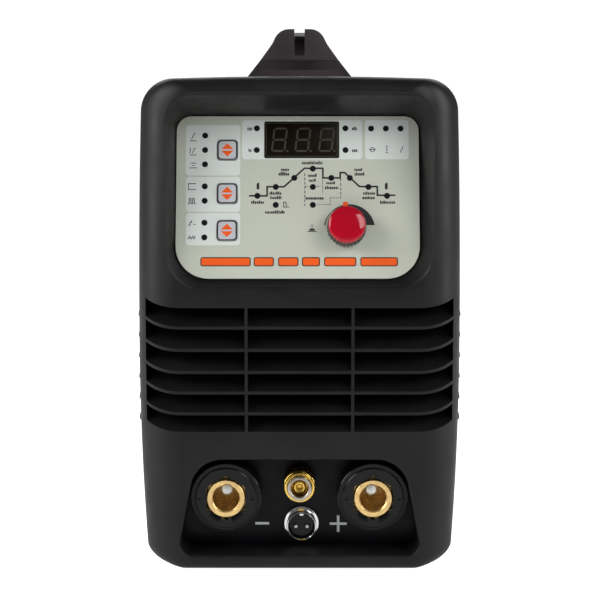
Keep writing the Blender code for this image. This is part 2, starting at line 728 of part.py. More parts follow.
def build_keys():
    half_x, half_y = (size / 2 for size in KEY_SIZE)
    for name, height in KEY_HEIGHTS.items():
        at = (KEY_X, height, 0)
        key, flange, stem = bmesh.new(), bmesh.new(), bmesh.new()
        prism(key, rounded_box((0, 0), (half_x, half_y), 1.8, 3), -1.9, 0.7)
        box(flange, (-half_x - 0.9, -half_y - 0.9, -2.5), (half_x + 0.9, half_y + 0.9, -1.5))
        post(stem, (0, 0), -4.9, -2, 2.0, sides=10)
        unite(solid(f"select_key_{name}", key, PANEL, "key_grey", at),
              solid(f"key_flange_{name}", flange, PANEL, location=at),
              solid(f"key_stem_{name}", stem, PANEL, location=at))


def build_control_board():
    """The board with its three soldered key switches, and the light guide that stands on it."""
    board, switches = bmesh.new(), bmesh.new()
    box(board, (-58, 2, BOARD_FACE - BOARD_THICKNESS), (58, 80, BOARD_FACE))
    for height in KEY_HEIGHTS.values():
        box(switches, (KEY_X - 3, height - 3, BOARD_FACE - 0.5), (KEY_X + 3, height + 3, -5.9))
    unite(solid("control_board", board, PANEL, "board_green"), solid("key_switches", switches, PANEL))
    guide, lights, gaps = bmesh.new(), bmesh.new(), bmesh.new()
    box(guide, (-52, 12, -4.6), (54, 79, -3.2))
    for place_xy in LED_PLACES:
        post(lights, place_xy, -4.0, -LABEL_THICKNESS - GAP, LED_RADIUS, sides=6)
    for height in KEY_HEIGHTS.values():
        box(gaps, (KEY_X - 6.2, height - 6.4, -6), (KEY_X + 6.2, height + 6.4, 0))
    low = [c - size / 2 - 1 for c, size in zip(DISPLAY_CENTRE, DISPLAY_SIZE)]
    high = [c + size / 2 + 1 for c, size in zip(DISPLAY_CENTRE, DISPLAY_SIZE)]
    box(gaps, (*low, -6), (*high, 0))
    x, up = KNOB_CENTRE
    box(gaps, (x - 7, up - 7, -6), (x + 7, up + 7, 0))
    light_guide = solid("indicator_light_guide", guide, PANEL, "led_body")
    unite(light_guide, solid("light_posts", lights, PANEL))
    cut(light_guide, solid("light_guide_gaps", gaps, PANEL))


def build_encoder():
    x, up = KNOB_CENTRE
    body = bmesh.new()
    box(body, (x - 6.2, up - 6.2, BOARD_FACE + GAP), (x + 6.2, up + 6.2, -2.4))
    encoder = solid("encoder_body", body, PANEL, "led_body")
    collar = bmesh.new()
    post(collar, KNOB_CENTRE, -3.5, 4.0, 3.4, sides=20)
    unite(encoder, solid("encoder_collar", collar, PANEL))
    inside, shaft_hole = bmesh.new(), bmesh.new()
    post(inside, KNOB_CENTRE, -8.4, -3.4, 4.4, sides=16)
    post(shaft_hole, KNOB_CENTRE, -5.0, 5.0, 2.6, sides=16)
    cut(encoder, solid("encoder_chamber", inside, PANEL), solid("encoder_bore", shaft_hole, PANEL))
    at = (x, up, 0)
    turned("encoder_plunger", [(0, -6.8), (3.9, -6.8), (3.9, -7.6), (0, -7.6)], PANEL, "steel", at, 14)
    turned("encoder_shaft", [(0, 9.6), (2.3, 9.6), (2.3, -3.9), (3.7, -3.9), (3.7, -6.3), (0, -6.3)],
           PANEL, "steel", at, 14)
    nut, hole = bmesh.new(), bmesh.new()
    hexagon(nut, KNOB_CENTRE, GAP, 2.3, 10.0)
    post(hole, KNOB_CENTRE, -1, 4, 3.7, sides=20)
    cut(solid("encoder_nut", nut, PANEL, "steel"), solid("encoder_nut_bore", hole, PANEL))


def build_knob():
    at = (*KNOB_CENTRE, 0)
    skirt = [(KNOB_RADIUS - 0.4, 8.6), (KNOB_RADIUS, 8.2), (KNOB_RADIUS, 1.4), (KNOB_RADIUS - 0.4, 1.0),
             (8.2, 1.0), (8.2, 4.6), (2.6, 4.6), (2.6, 8.6)]
    turned("knob_skirt", skirt, PANEL, "knob_grey", at, 24, ring=True)
    cap = [(0, KNOB_TOP + 0.6), (CAP_RADIUS * 0.6, KNOB_TOP + 0.35), (CAP_RADIUS - 0.7, KNOB_TOP - 0.1),
           (CAP_RADIUS, KNOB_TOP - 0.8), (CAP_RADIUS, 8.9), (2.6, 8.9), (2.6, 9.9), (0, 9.9)]
    turned("knob_cap", cap, PANEL, "knob_red", at, 24)


# Connector recess

def build_connector_plate():
    bm = bmesh.new()
    back = -PLATE_DEPTH - PLATE_THICKNESS
    prism(bm, rounded_box((0, 37.0), (65.5, 27.5), 5.0), back, -PLATE_DEPTH)
    plate = solid("connector_plate", bm, FRONT, "gloss_black")
    holes = bmesh.new()
    for x in (-SOCKET_X, SOCKET_X):
        post(holes, (x, SOCKET_HEIGHT), back - 2, -PLATE_DEPTH + 2, BOSS_STEM + GAP, sides=32)
    post(holes, (0, GAS_HEIGHT), back - 2, -PLATE_DEPTH + 2, GAS_STEM_RADIUS + GAP, sides=20)
    post(holes, TRIGGER_PLACE, back - 2, -PLATE_DEPTH + 2, TRIGGER_SHELL_RADIUS + GAP, sides=24)
    cut(plate, solid("plate_holes", holes, FRONT))


def build_socket(name, x, pin_shift):
    """One weld-cable socket: insulating boss, brass body with a bore, and its lock pin's seat."""
    at = (x, SOCKET_HEIGHT, 0)
    seat, inner = -PLATE_DEPTH + GAP, SOCKET_HEX + GAP
    boss = [(BOSS_RADIUS, -5.8), (BOSS_RADIUS, seat), (BOSS_STEM, seat), (BOSS_STEM, -26.6), (inner, -26.6),
            (inner, -4.0), (BOSS_LIP, -4.0), (BOSS_LIP, -5.0), (BOSS_RADIUS - 0.85, -5.0)]
    insulator = turned(f"{name}_socket_insulator", boss, FRONT, "gloss_black", at, 28, ring=True)
    hex_hole = bmesh.new()
    hexagon(hex_hole, (0, 0), -28, -2, 2 * SOCKET_HEX + 2 * GAP)
    cut(insulator, solid(f"{name}_hex_hole", hex_hole, FRONT, location=at))
    bar = bmesh.new()
    hexagon(bar, (0, 0), -27.0, -SOCKET_FACE, 2 * SOCKET_HEX)
    body = solid(f"{name}_socket_body", bar, FRONT, "brass", at)
    chamfer = turned(f"{name}_socket_chamfer", [(0, -SOCKET_FACE + 1), (9.1, -SOCKET_FACE + 1),
                     (9.4, -SOCKET_FACE), (12.0, -5.2), (12.0, -30), (0, -30)], FRONT, location=at)
    boolean(body, chamfer, "INTERSECT")
    stud = bmesh.new()
    post(stud, (0, 0), -46.0, -26.0, SOCKET_STUD, sides=18)
    unite(body, solid(f"{name}_socket_stud", stud, FRONT, location=at))
    bores = bmesh.new()
    post(bores, (0, 0), -SOCKET_DEPTH, 0.0, SOCKET_BORE, sides=24)
    pin_seat = bmesh.new()
    post(pin_seat, (pin_shift, LOCK_PIN_RISE), -25.0, 0.0, LOCK_PIN_RADIUS + GAP, sides=14)
    cut(body, solid(f"{name}_bore", bores, FRONT, location=at),
        solid(f"{name}_pin_seat", pin_seat, FRONT, location=at))


def build_sockets():
    for name, x in (("negative", -SOCKET_X), ("positive", SOCKET_X)):
        shift = LOCK_PIN_SHIFTS[name]
        build_socket(name, x, shift)
        at = (x, SOCKET_HEIGHT, 0)
        pin, nut, bore = bmesh.new(), bmesh.new(), bmesh.new()
        post(pin, (shift, LOCK_PIN_RISE), -24.7, -SOCKET_FACE - 1.2, LOCK_PIN_RADIUS, sides=14)
        solid(f"{name}_lock_pin", pin, FRONT, "steel", at)
        hexagon(nut, (0, 0), -37.3, -BUSBAR_DEPTH[1] - GAP, 22.0)
        post(bore, (0, 0), -45, -25, SOCKET_STUD + GAP, sides=18)
        cut(solid(f"{name}_socket_nut", nut, FRONT, "brass", at),
            solid(f"{name}_nut_bore", bore, FRONT, location=at))
        build_busbar(name, x)


def build_gas_outlet():
    at = (0, GAS_HEIGHT, 0)
    stem = GAS_STEM_RADIUS
    body = [(5.6, 0), (6.15, -0.6), (6.15, -21.9), (stem, -21.9), (stem, -40), (HOSE_RADIUS, -40.5),
            (HOSE_RADIUS, -54), (1.5, -54), (1.5, -14.5), (4.35, -14.5), (4.35, -0.5), (4.7, 0)]
    turned("gas_outlet_body", body, FRONT, "brass", at, 20, ring=True)
    sleeve = [(7.2, -3.0), (7.65, -3.6), (7.65, -5.6), (8.1, -6.2), (8.1, -7.6), (7.65, -8.2),
              (7.65, -18.6), (6.45, -18.6), (6.45, -3.0)]
    turned("gas_outlet_sleeve", sleeve, FRONT, "brass", at, 20, ring=True)
    valve = [(0, -3.2), (2.4, -3.2), (3.25, -4.0), (3.25, -11.9), (0, -11.9)]
    turned("gas_outlet_valve", valve, FRONT, "brass", at, 14)
    nut, bore = bmesh.new(), bmesh.new()
    hexagon(nut, (0, GAS_HEIGHT), -29.6, -25.6, 15.0)
    post(bore, (0, GAS_HEIGHT), -31, -24, GAS_STEM_RADIUS + GAP, sides=20)
    cut(solid("gas_outlet_nut", nut, FRONT, "brass"), solid("gas_nut_bore", bore, FRONT))


def build_trigger_connector():
    at = (*TRIGGER_PLACE, 0)
    outer = TRIGGER_SHELL_RADIUS
    shell = [(outer - 0.6, -14.0), (outer, -14.6), (outer, -20.0), (8.9, -20.3), (8.9, -22.0), (outer, -22.0),
             (outer, -33.0), (6.6, -33.0), (6.6, -14.4)]
    turned("trigger_connector_shell", shell, FRONT, "chrome", at, 24, ring=True)
    insert = turned("trigger_connector_insert", [(0, -18.0), (6.3, -18.0), (6.3, -31.0), (0, -31.0)],
                    FRONT, "gloss_black", at, 20)
    holes = bmesh.new()
    for name, x in (("left", -TRIGGER_PIN_X), ("right", TRIGGER_PIN_X)):
        pin = bmesh.new()
        post(pin, (x, -0.4), -35, -15.2, 1.0, sides=8)
        post(holes, (x, -0.4), -36, -15, 1.3, sides=8)
        solid(f"trigger_pin_{name}", pin, FRONT, "steel", at)
    cut(insert, solid("trigger_pin_holes", holes, FRONT, location=at))
    nut, bore = bmesh.new(), bmesh.new()
    hexagon(nut, (0, 0), -28.6, -25.6, 19.0)
    post(bore, (0, 0), -30, -24, TRIGGER_SHELL_RADIUS + GAP, sides=24)
    cut(solid("trigger_connector_nut", nut, FRONT, "chrome", at),
        solid("trigger_nut_bore", bore, FRONT, location=at))


# Back panel fittings

def fan_blades(bm):
    """Adds the pitched blades about the drawing's Z axis."""
    for k in range(FAN_BLADES):
        verts = bmesh.ops.create_cube(bm, size=1.0)["verts"]
        bmesh.ops.scale(bm, vec=(26.0, 22.0, 1.4), verts=verts)
        pitch = Matrix.Rotation(math.radians(38), 4, "X")
        outward = Matrix.Translation((28.0, 0, 0))
        turn = Matrix.Rotation(2 * math.pi * k / FAN_BLADES, 4, "Z")
        bmesh.ops.transform(bm, matrix=turn @ outward @ pitch, verts=verts)


def build_fan():
    back = -WALL - GAP
    square = bmesh.new()
    prism(square, rounded_box((0, 0), (FAN_HALF, FAN_HALF), 4.0, 3), back - FAN_DEPTH, back)
    frame = solid("fan_frame", square, REAR, "black_plastic", (0, FAN_HEIGHT, 0))
    tools = bmesh.new()
    post(tools, (0, 0), back - FAN_DEPTH - 1, back + 1, FAN_BORE, sides=28)
    cut(frame, solid("fan_openings", tools, REAR, location=(0, FAN_HEIGHT, 0)))
    spider, shaft_hole = bmesh.new(), bmesh.new()
    post(spider, (0, 0), back - FAN_DEPTH, back - FAN_DEPTH + 3.4, 17.0, sides=24)
    for k in range(4):
        angle = math.radians(45 + 90 * k)
        end = Vector((math.cos(angle), math.sin(angle), 0)) * (FAN_BORE + 1)
        middle = Vector((0, 0, back - FAN_DEPTH + 1.7))
        rod(spider, middle, end + middle, 1.6, sides=6)
    post(shaft_hole, (0, 0), back - FAN_DEPTH - 1, back - FAN_DEPTH + 5, 1.9, sides=16)
    hub_plate = solid("fan_spider", spider, REAR, location=(0, FAN_HEIGHT, 0))
    unite(frame, hub_plate)
    cut(frame, solid("fan_shaft_hole", shaft_hole, REAR, location=(0, FAN_HEIGHT, 0)))
    hub = bmesh.new()
    post(hub, (0, 0), -10.0, 10.0, HUB_RADIUS, sides=20)
    middle = back - FAN_DEPTH + 14.2
    rotor = solid("fan_rotor", hub, REAR, "black_plastic", (0, FAN_HEIGHT, middle))
    blades = bmesh.new()
    fan_blades(blades)
    post(blades, (0, 0), -13.5, -9.0, 1.5, sides=12)
    unite(rotor, solid("fan_blades", blades, REAR, location=(0, FAN_HEIGHT, middle)))


def build_fan_guard():
    centre = (0, FAN_HEIGHT, 0)
    rings = []
    for radius in (14.0, 28.0, 42.0):
        wire = [(radius + 0.9 * math.cos(math.radians(-90 * k)), 1.6 + 0.9 * math.sin(math.radians(-90 * k)))
                for k in range(4)]
        rings.append((radius, wire))
    arms = bmesh.new()
    for k in range(4):
        angle = math.radians(45 + 90 * k)
        reach = Vector((math.cos(angle), math.sin(angle), 0))
        tip = reach * (math.sqrt(2) * FAN_SCREW - 2.5)
        rod(arms, Vector((0, 0, 1.6)) + reach * 10, tip + Vector((0, 0, 1.6)), 0.95, sides=6)
        post(arms, (reach * math.sqrt(2) * FAN_SCREW)[:2], 0.7, 2.5, 4.2, sides=10)
    guard = solid("fan_guard", arms, REAR, "steel", centre)
    for radius, wire in rings:
        unite(guard, turned(f"guard_ring_{radius:.0f}", wire, REAR, None, centre, 24, ring=True))


def tilted(outline):
    """A rocker outline turned about its pivot, with its upper end standing out."""
    points = []
    for along, out in outline:
        reach = out - ROCKER_PIVOT
        points.append((along * math.cos(ROCKER_TILT) - reach * math.sin(ROCKER_TILT),
                       ROCKER_PIVOT + reach * math.cos(ROCKER_TILT) + along * math.sin(ROCKER_TILT)))
    return points


def build_mains_switch():
    x, y = SWITCH_PLACE
    half_x, half_y = SWITCH_HALF
    at = (x, y, 0)
    body = bmesh.new()
    box(body, (-half_x, -half_y, -22), (half_x, half_y, 1))
    switch = solid("mains_switch_body", body, REAR, "gloss_black", at)
    flange = bmesh.new()
    prism(flange, rounded_box((0, 0), (half_x + 1.8, half_y + 1.8), 1.5, 2), GAP, 2.0)
    unite(switch, solid("switch_flange", flange, REAR, location=at))
    well = bmesh.new()
    inner_x, inner_y = half_x - SWITCH_WALL, half_y - SWITCH_WALL
    box(well, (-inner_x, -inner_y, -8), (inner_x, inner_y, 4))
    cut(switch, solid("switch_well", well, REAR, location=at))
    rocker = bmesh.new()
    prism(rocker, tilted(ROCKER_LEVEL), -half_x + 2.0, half_x - 2.0)
    turned_to_side = Matrix(((0, 0, 1, 0), (1, 0, 0, 0), (0, 1, 0, 0), (0, 0, 0, 1)))
    bmesh.ops.transform(rocker, matrix=turned_to_side, verts=rocker.verts)
    solid("mains_switch_rocker", rocker, REAR, "gloss_black", at)


def build_cable_gland():
    at = (*GLAND_PLACE, 0)
    base, neck = bmesh.new(), bmesh.new()
    hexagon(base, (0, 0), GAP, 6.0, 24.0)
    gland = solid("cable_gland", base, REAR, "black_plastic", at)
    post(neck, (0, 0), -14.0, 1.0, GLAND_NECK, sides=18)
    post(neck, (0, 0), 5.0, 13.0, 9.5, sides=18)
    unite(gland, solid("gland_neck", neck, REAR, location=at))
    dome = [(0, 19.0), (8.0, 19.0), (11.2, 14.0), (11.2, 7.5), (0, 7.5)]
    unite(gland, turned("gland_dome", dome, REAR, None, at, 18))
    bore = bmesh.new()
    post(bore, (0, 0), -15, 20, GLAND_BORE, sides=20)
    cut(gland, solid("gland_bore", bore, REAR, location=at))
    nut, hole = bmesh.new(), bmesh.new()
    hexagon(nut, (0, 0), -8.0, -WALL - GAP, 24.0)
    post(hole, (0, 0), -10, -2, GLAND_NECK + GAP, sides=24)
    cut(solid("cable_gland_nut", nut, REAR, "black_plastic", at),
        solid("gland_nut_bore", hole, REAR, location=at))


def build_gas_inlet():
    at = (*INLET_PLACE, 0)
    reach, slim = REAR_REACH, HOSE_RADIUS
    barb = [(3.2, reach), (4.2, reach - 3), (slim, reach - 3.2), (4.2, reach - 7), (slim, reach - 7.2),
            (4.2, reach - 11), (slim, reach - 11.2), (slim, 6.0), (8.0, 5.4), (8.0, GAP), (INLET_STEM, GAP),
            (INLET_STEM, -16.0), (slim, -16.4), (slim, -30.0), (1.7, -30.0), (1.7, reach)]
    turned("gas_inlet_barb", barb, REAR, "brass", at, 20, ring=True)


# Inside

def build_power_board():
    """The main board with its four soldered capacitors."""
    half, front, back = POWER_BOARD
    board, cans = bmesh.new(), bmesh.new()
    box(board, (-half, front, BOARD_HEIGHT), (half, back, BOARD_HEIGHT + BOARD_THICKNESS))
    for x in (14, 42):
        for y in (-102, -68):
            rod(cans, (x, y, BOARD_HEIGHT + 1), (x, y, BOARD_HEIGHT + 48), 13.0, sides=16)
    unite(solid("power_board", board, WORLD, "board_green"), solid("filter_capacitors", cans, WORLD))


def comb_outline(width, height, base, fins, fin):
    """Front view of a finned heatsink, fins upwards."""
    pitch = (width - fin) / (fins - 1)
    points = [(0, 0), (width, 0), (width, height)]
    for k in reversed(range(fins)):
        left = k * pitch
        points.append((left, height))
        if k:
            points += [(left, base), (left - pitch + fin, base), (left - pitch + fin, height)]
    return points


def build_heatsink():
    bm = bmesh.new()
    low = BOARD_HEIGHT + BOARD_THICKNESS + GAP
    prism(bm, [(x - 52, low + y) for x, y in comb_outline(104.0, 58.0, 6.0, 11, 2.0)], -26.0, 46.0)
    solid("heatsink", bm, CROSS_SECTION, "aluminium")


def build_transformer():
    low = BOARD_HEIGHT + BOARD_THICKNESS + GAP
    core, windows, winding, leg = bmesh.new(), bmesh.new(), bmesh.new(), bmesh.new()
    box(core, (-30, 36, low), (30, 72, low + 50))
    for side in (-1, 1):
        near, far = sorted((side * 9.0, side * 21.0))
        box(windows, (near, 30, low + 10), (far, 80, low + 40))
    cut(solid("transformer_core", core, WORLD, "ferrite"), solid("core_windows", windows, WORLD))
    box(winding, (-20.5, 27, low + 10.5), (20.5, 81, low + 39.5))
    box(leg, (-9.5, 35.5, low), (9.5, 72.5, low + 60))
    cut(solid("transformer_winding", winding, WORLD, "copper"), solid("winding_leg", leg, WORLD))


def build_choke():
    middle = BOARD_HEIGHT + BOARD_THICKNESS + GAP + 10
    angles = [math.radians(-60 * k) for k in range(6)]
    wire = [(19 + 8.5 * math.cos(a), middle + 8.5 * math.sin(a)) for a in angles]
    turned("output_choke", wire, WORLD, "copper", (-28, -84, 0), 16, ring=True)


def build_gas_line():
    """The solenoid valve lies on the tray between the inlet and the outlet, joined by two hoses."""
    x, z = -INLET_PLACE[0], INLET_PLACE[1]
    valve, coil = bmesh.new(), bmesh.new()
    box(valve, (x - 9, 62, z - 11), (x + 9, 92, z + 9))
    body = solid("gas_solenoid_valve", valve, WORLD, "brass")
    rod(coil, (x - 8, 77, z), (x - 34, 77, z), 11.0, sides=20)
    unite(body, solid("valve_coil", coil, WORLD))
    inlet_end = BACK_Y - 30 - GAP
    hose("gas_hose_rear", [(x, inlet_end, z), (x, 120, z), (x, 92 + GAP, z)], HOSE_RADIUS, "hose_blue")
    outlet_end = FRONT_Y + 54 + GAP
    route = [(x, 62 - GAP, z), (x, 30, z), (46, -20, z - 4), (40, -70, z - 2), (14, -112, GAS_HEIGHT - 4),
             (0, -130, GAS_HEIGHT), (0, outlet_end, GAS_HEIGHT)]
    hose("gas_hose_front", route, HOSE_RADIUS, "hose_blue")


def build_busbar(name, x):
    """A copper strap from a socket's stud up and back to the power board."""
    near, far = (FRONT_Y + depth for depth in BUSBAR_DEPTH)
    top = BOARD_HEIGHT - 6.0
    strap, arm, hole = bmesh.new(), bmesh.new(), bmesh.new()
    box(strap, (x - 11, near, SOCKET_HEIGHT - 11), (x + 11, far, top))
    box(arm, (x - 10.9, near + 0.1, top - 2.5), (x + 10.9, -100, top - 0.1))
    rod(hole, (x, near - 2, SOCKET_HEIGHT), (x, far + 2, SOCKET_HEIGHT), SOCKET_STUD + GAP, sides=18)
    bar = solid(f"{name}_busbar", strap, WORLD, "copper")
    unite(bar, solid(f"{name}_busbar_arm", arm, WORLD))
    cut(bar, solid(f"{name}_busbar_hole", hole, WORLD))


clear_scene()
PARTS = new_collection("tig_welding_machine")
CUTTERS = new_collection("cutters")
WORLD = new_frame("world_frame", (0, 0, 0), (0, 0, 0))
FRONT = new_frame("front_frame", (0, FRONT_Y, 0), (RIGHT_ANGLE, 0, 0))
CROSS_SECTION = new_frame("cross_section_frame", (0, 0, 0), (RIGHT_ANGLE, 0, 0))
REAR = new_frame("rear_frame", (0, BACK_Y, 0), (RIGHT_ANGLE, 0, math.pi))
LENGTHWISE = new_frame("side_frame", (0, 0, 0), (RIGHT_ANGLE, 0, RIGHT_ANGLE))
PANEL = new_frame(
    "panel_frame", (0, FRONT_Y + PANEL_DEPTH, PANEL_BOTTOM), (RIGHT_ANGLE - PANEL_LEAN, 0, 0)
)

build_bezel()
build_rear_panel()
build_casing()
build_tray()
build_feet()
build_handle()
build_label()
build_display()
build_keys()
build_control_board()
build_encoder()
build_knob()
build_connector_plate()
build_sockets()
build_gas_outlet()
build_trigger_connector()
build_fan()
build_fan_guard()
build_mains_switch()
build_cable_gland()
build_gas_inlet()
build_power_board()
build_heatsink()
build_transformer()
build_choke()
build_gas_line()
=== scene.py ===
import math
import random

import bmesh
import bpy
from mathutils import Matrix, Vector


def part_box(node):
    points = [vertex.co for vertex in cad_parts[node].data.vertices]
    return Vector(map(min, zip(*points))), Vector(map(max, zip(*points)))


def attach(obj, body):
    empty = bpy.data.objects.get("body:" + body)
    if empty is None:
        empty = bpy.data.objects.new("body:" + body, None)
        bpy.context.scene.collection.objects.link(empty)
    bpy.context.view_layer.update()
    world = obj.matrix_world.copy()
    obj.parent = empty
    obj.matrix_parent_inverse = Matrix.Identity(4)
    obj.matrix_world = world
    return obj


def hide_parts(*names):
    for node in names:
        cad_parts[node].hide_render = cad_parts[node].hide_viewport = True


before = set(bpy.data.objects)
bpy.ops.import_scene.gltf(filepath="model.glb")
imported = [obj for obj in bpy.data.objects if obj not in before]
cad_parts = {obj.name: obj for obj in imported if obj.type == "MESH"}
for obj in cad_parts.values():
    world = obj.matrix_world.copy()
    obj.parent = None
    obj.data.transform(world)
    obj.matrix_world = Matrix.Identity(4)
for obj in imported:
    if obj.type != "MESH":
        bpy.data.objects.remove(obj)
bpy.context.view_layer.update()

MM = 0.001
TURN = 2 * math.pi
RIGHT_ANGLE = math.pi / 2
GAP = 0.3  # millimetres between neighbouring pieces
AHEAD = 2.0  # how far before a face the tools that cut it start
SQUARE = ((-1, -1), (1, -1), (1, 1), (-1, 1))  # corners, anticlockwise


# Drawing frames: x right, y up, z out of the drawing; pieces are drawn in them in millimetres

def millimetres(node):
    """A CAD node's lowest and highest corners, in millimetres."""
    low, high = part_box(node)
    return low / MM, high / MM


def turned_frame(x, y, z, *turns):
    matrix = Matrix.Translation(Vector((x, y, z)) * MM)
    for angle, axis in turns:
        matrix = matrix @ Matrix.Rotation(angle, 4, axis)
    return matrix


LEAN = math.radians(16.0)
FRONT_Y = millimetres("front_bezel")[0].y
BACK_Y = millimetres("rear_panel")[1].y
LABEL_LOW = millimetres("control_label")[0]
LABEL_THICKNESS = 1.0
PANEL_Y = LABEL_LOW.y
PANEL_Z = LABEL_LOW.z + LABEL_THICKNESS * math.sin(LEAN)
PANEL_DEPTH = PANEL_Y - FRONT_Y

WORLD = turned_frame(0, 0, 0)
FRONT = turned_frame(0, FRONT_Y, 0, (RIGHT_ANGLE, "X"))
SECTION = turned_frame(0, 0, 0, (RIGHT_ANGLE, "X"))
REAR = turned_frame(0, BACK_Y, 0, (math.pi, "Z"), (RIGHT_ANGLE, "X"))
SIDE = turned_frame(0, 0, 0, (RIGHT_ANGLE, "Z"), (RIGHT_ANGLE, "X"))
PANEL = turned_frame(0, PANEL_Y, PANEL_Z, (RIGHT_ANGLE - LEAN, "X"))

# The end mouldings' shape
MOULDING_DEPTH = 42.0
HALF_WIDTH = 80.75
CROWN_HEIGHT = 113.0
CROWN_UPPER = 1.42e-4
CROWN_LOWER = 3.25e-4
MOULDING_BOTTOM = 5.0
MOULDING_TOP = 249.0
TOP_ARCH = 1.0
SIDE_ROUND = 22.0
TOP_ROUND = 8.0
BOTTOM_ROUND = 4.0
TOP_CORNER = (16.5, 16.5)
BOTTOM_CORNER = (16.0, 10.0)
CORNER_TIGHTENING = 0.55
LEAST_CORNER = 2.0
LEAST_EDGE = 0.5
HOLLOW_DEPTHS = (5, 8, 13)
WALL = 3.0
CASING_FRONT = FRONT_Y + MOULDING_DEPTH + GAP
CASING_BACK = BACK_Y - MOULDING_DEPTH - GAP


# Mesh helpers, all in millimetres

def box(bm, low, high):
    verts = bmesh.ops.create_cube(bm, size=1.0)["verts"]
    low, high = Vector(low), Vector(high)
    bmesh.ops.scale(bm, vec=high - low, verts=verts)
    bmesh.ops.translate(bm, vec=(high + low) / 2, verts=verts)


def rod(bm, start, end, radius, sides=32, end_radius=None):
    start, end = Vector(start), Vector(end)
    turn = Vector((0, 0, 1)).rotation_difference(end - start).to_matrix().to_4x4()
    bmesh.ops.create_cone(
        bm, cap_ends=True, segments=sides, radius1=radius,
        radius2=radius if end_radius is None else end_radius,
        depth=(end - start).length, matrix=Matrix.Translation((start + end) / 2) @ turn,
    )


def post(bm, centre, low, high, radius, sides=32):
    rod(bm, (*centre, low), (*centre, high), radius, sides)


def prism(bm, outline, low, high):
    """An outline of (x, y) points raised from z = low to z = high."""
    loft(bm, [raised(outline, z) for z in (low, high)])


def raised(outline, z):
    return [(x, y, z) for x, y in outline]


def loft(bm, rings, closed=False):
    """A skin through rings with equally many points; closed joins the last ring to the first."""
    layers = [[bm.verts.new(point) for point in ring] for ring in rings]
    pairs = list(zip(layers, layers[1:]))
    if closed:
        pairs.append((layers[-1], layers[0]))
    for near, far in pairs:
        for i, vert in enumerate(near):
            bm.faces.new((near[i - 1], vert, far[i], far[i - 1]))
    if not closed:
        bm.faces.new(layers[0])
        bm.faces.new(layers[-1])


def lathe(bm, profile, sides=48, ring=False, centre=(0, 0)):
    """Turns (radius, height) points about Z; a ring's profile is closed."""
    x, y = centre
    rings = []
    for k in range(sides):
        c, s = math.cos(TURN * k / sides), math.sin(TURN * k / sides)
        rings.append([bm.verts.new((x + r * c, y + r * s, h)) for r, h in profile])
    count = len(profile)
    for k in range(sides):
        near, far = rings[k - 1], rings[k]
        for i in range(count if ring else count - 1):
            j = (i + 1) % count
            bm.faces.new((near[i], near[j], far[j], far[i]))
    bmesh.ops.remove_doubles(bm, verts=bm.verts, dist=1e-4)


def rounded(corners, steps=6):
    """Points of a polygon whose corners (x, y, radius) are rounded by arcs."""
    points = []
    for i, (x, y, radius) in enumerate(corners):
        here = Vector((x, y))
        before = (Vector(corners[i - 1][:2]) - here).normalized()
        after = (Vector(corners[(i + 1) % len(corners)][:2]) - here).normalized()
        half = before.angle(after) / 2
        centre = here + (before + after).normalized() * (radius / math.sin(half))
        tangent = radius / math.tan(half)
        first = here + before * tangent - centre
        last = here + after * tangent - centre
        start = math.atan2(first.y, first.x)
        sweep = math.atan2(first.x * last.y - first.y * last.x, first.dot(last))
        for k in range(steps + 1):
            angle = start + sweep * k / steps
            points.append((centre.x + radius * math.cos(angle), centre.y + radius * math.sin(angle)))
    return points


def mirrored(right):
    """Corners (x, y, radius) of the right half, followed by the same on the left."""
    return list(right) + [(-x, y, radius) for x, y, radius in reversed(right)]


def flipped(points):
    """Points (x, y) on the other side, in the order that goes on round an outline."""
    return [(-x, y) for x, y in reversed(points)]


def rounded_box(centre, half, radius, steps=6):
    signs = (*SQUARE[1:], SQUARE[0])
    return rounded([(centre[0] + a * half[0], centre[1] + b * half[1], radius) for a, b in signs], steps)


def hexagon(across_flats):
    radius = across_flats / math.sqrt(3)
    return [(radius * math.sin(TURN * k / 6), radius * math.cos(TURN * k / 6)) for k in range(6)]


def ribbon(points, width):
    """Outline of a line of even width through points, with mitred bends."""
    line = [Vector(p) for p in points]
    left, right = [], []
    for i, point in enumerate(line):
        ahead = (line[i + 1] - point if i + 1 < len(line) else point - line[i - 1]).normalized()
        behind = (point - line[i - 1]).normalized() if i else ahead
        across = (Vector((-ahead.y, ahead.x)) + Vector((-behind.y, behind.x))).normalized()
        reach = width / 2 / max(across.dot(Vector((-ahead.y, ahead.x))), 0.3)
        left.append(tuple(point + across * reach))
        right.append(tuple(point - across * reach))
    return left + right[::-1]


def mesh_object(name, bm, matrix):
    """An object from a mesh drawn in millimetres, standing in its frame, in metres."""
    bmesh.ops.recalc_face_normals(bm, faces=bm.faces)
    bmesh.ops.scale(bm, vec=(MM, MM, MM), verts=bm.verts)
    mesh = bpy.data.meshes.new(name)
    bm.to_mesh(mesh)
    bm.free()
    obj = bpy.data.objects.new(name, mesh)
    bpy.context.scene.collection.objects.link(obj)
    obj.matrix_world = matrix
    return obj


def sketch(draw, *args, **options):
    """A mesh with one solid drawn in it."""
    bm = bmesh.new()
    draw(bm, *args, **options)
    return bm


def solid(name, matrix, draw, *args, **options):
    """An object with one solid drawn in it."""
    return mesh_object(name, sketch(draw, *args, **options), matrix)


def bake(obj):
    """Applies an object's modifiers to its mesh."""
    bpy.context.view_layer.update()
    graph = bpy.context.evaluated_depsgraph_get()
    mesh = bpy.data.meshes.new_from_object(obj.evaluated_get(graph))
    obj.modifiers.clear()
    obj.data = mesh


def shape(obj, *tools, operation="DIFFERENCE"):
    """Cuts an object with tools, or joins them to it, and removes the tools."""
    for tool in tools:
        modifier = obj.modifiers.new(tool.name, "BOOLEAN")
        modifier.object = tool
        modifier.operation = operation
        modifier.solver = "EXACT"
        modifier.use_self = operation == "UNION"
    bake(obj)
    for tool in tools:
        bpy.data.objects.remove(tool)


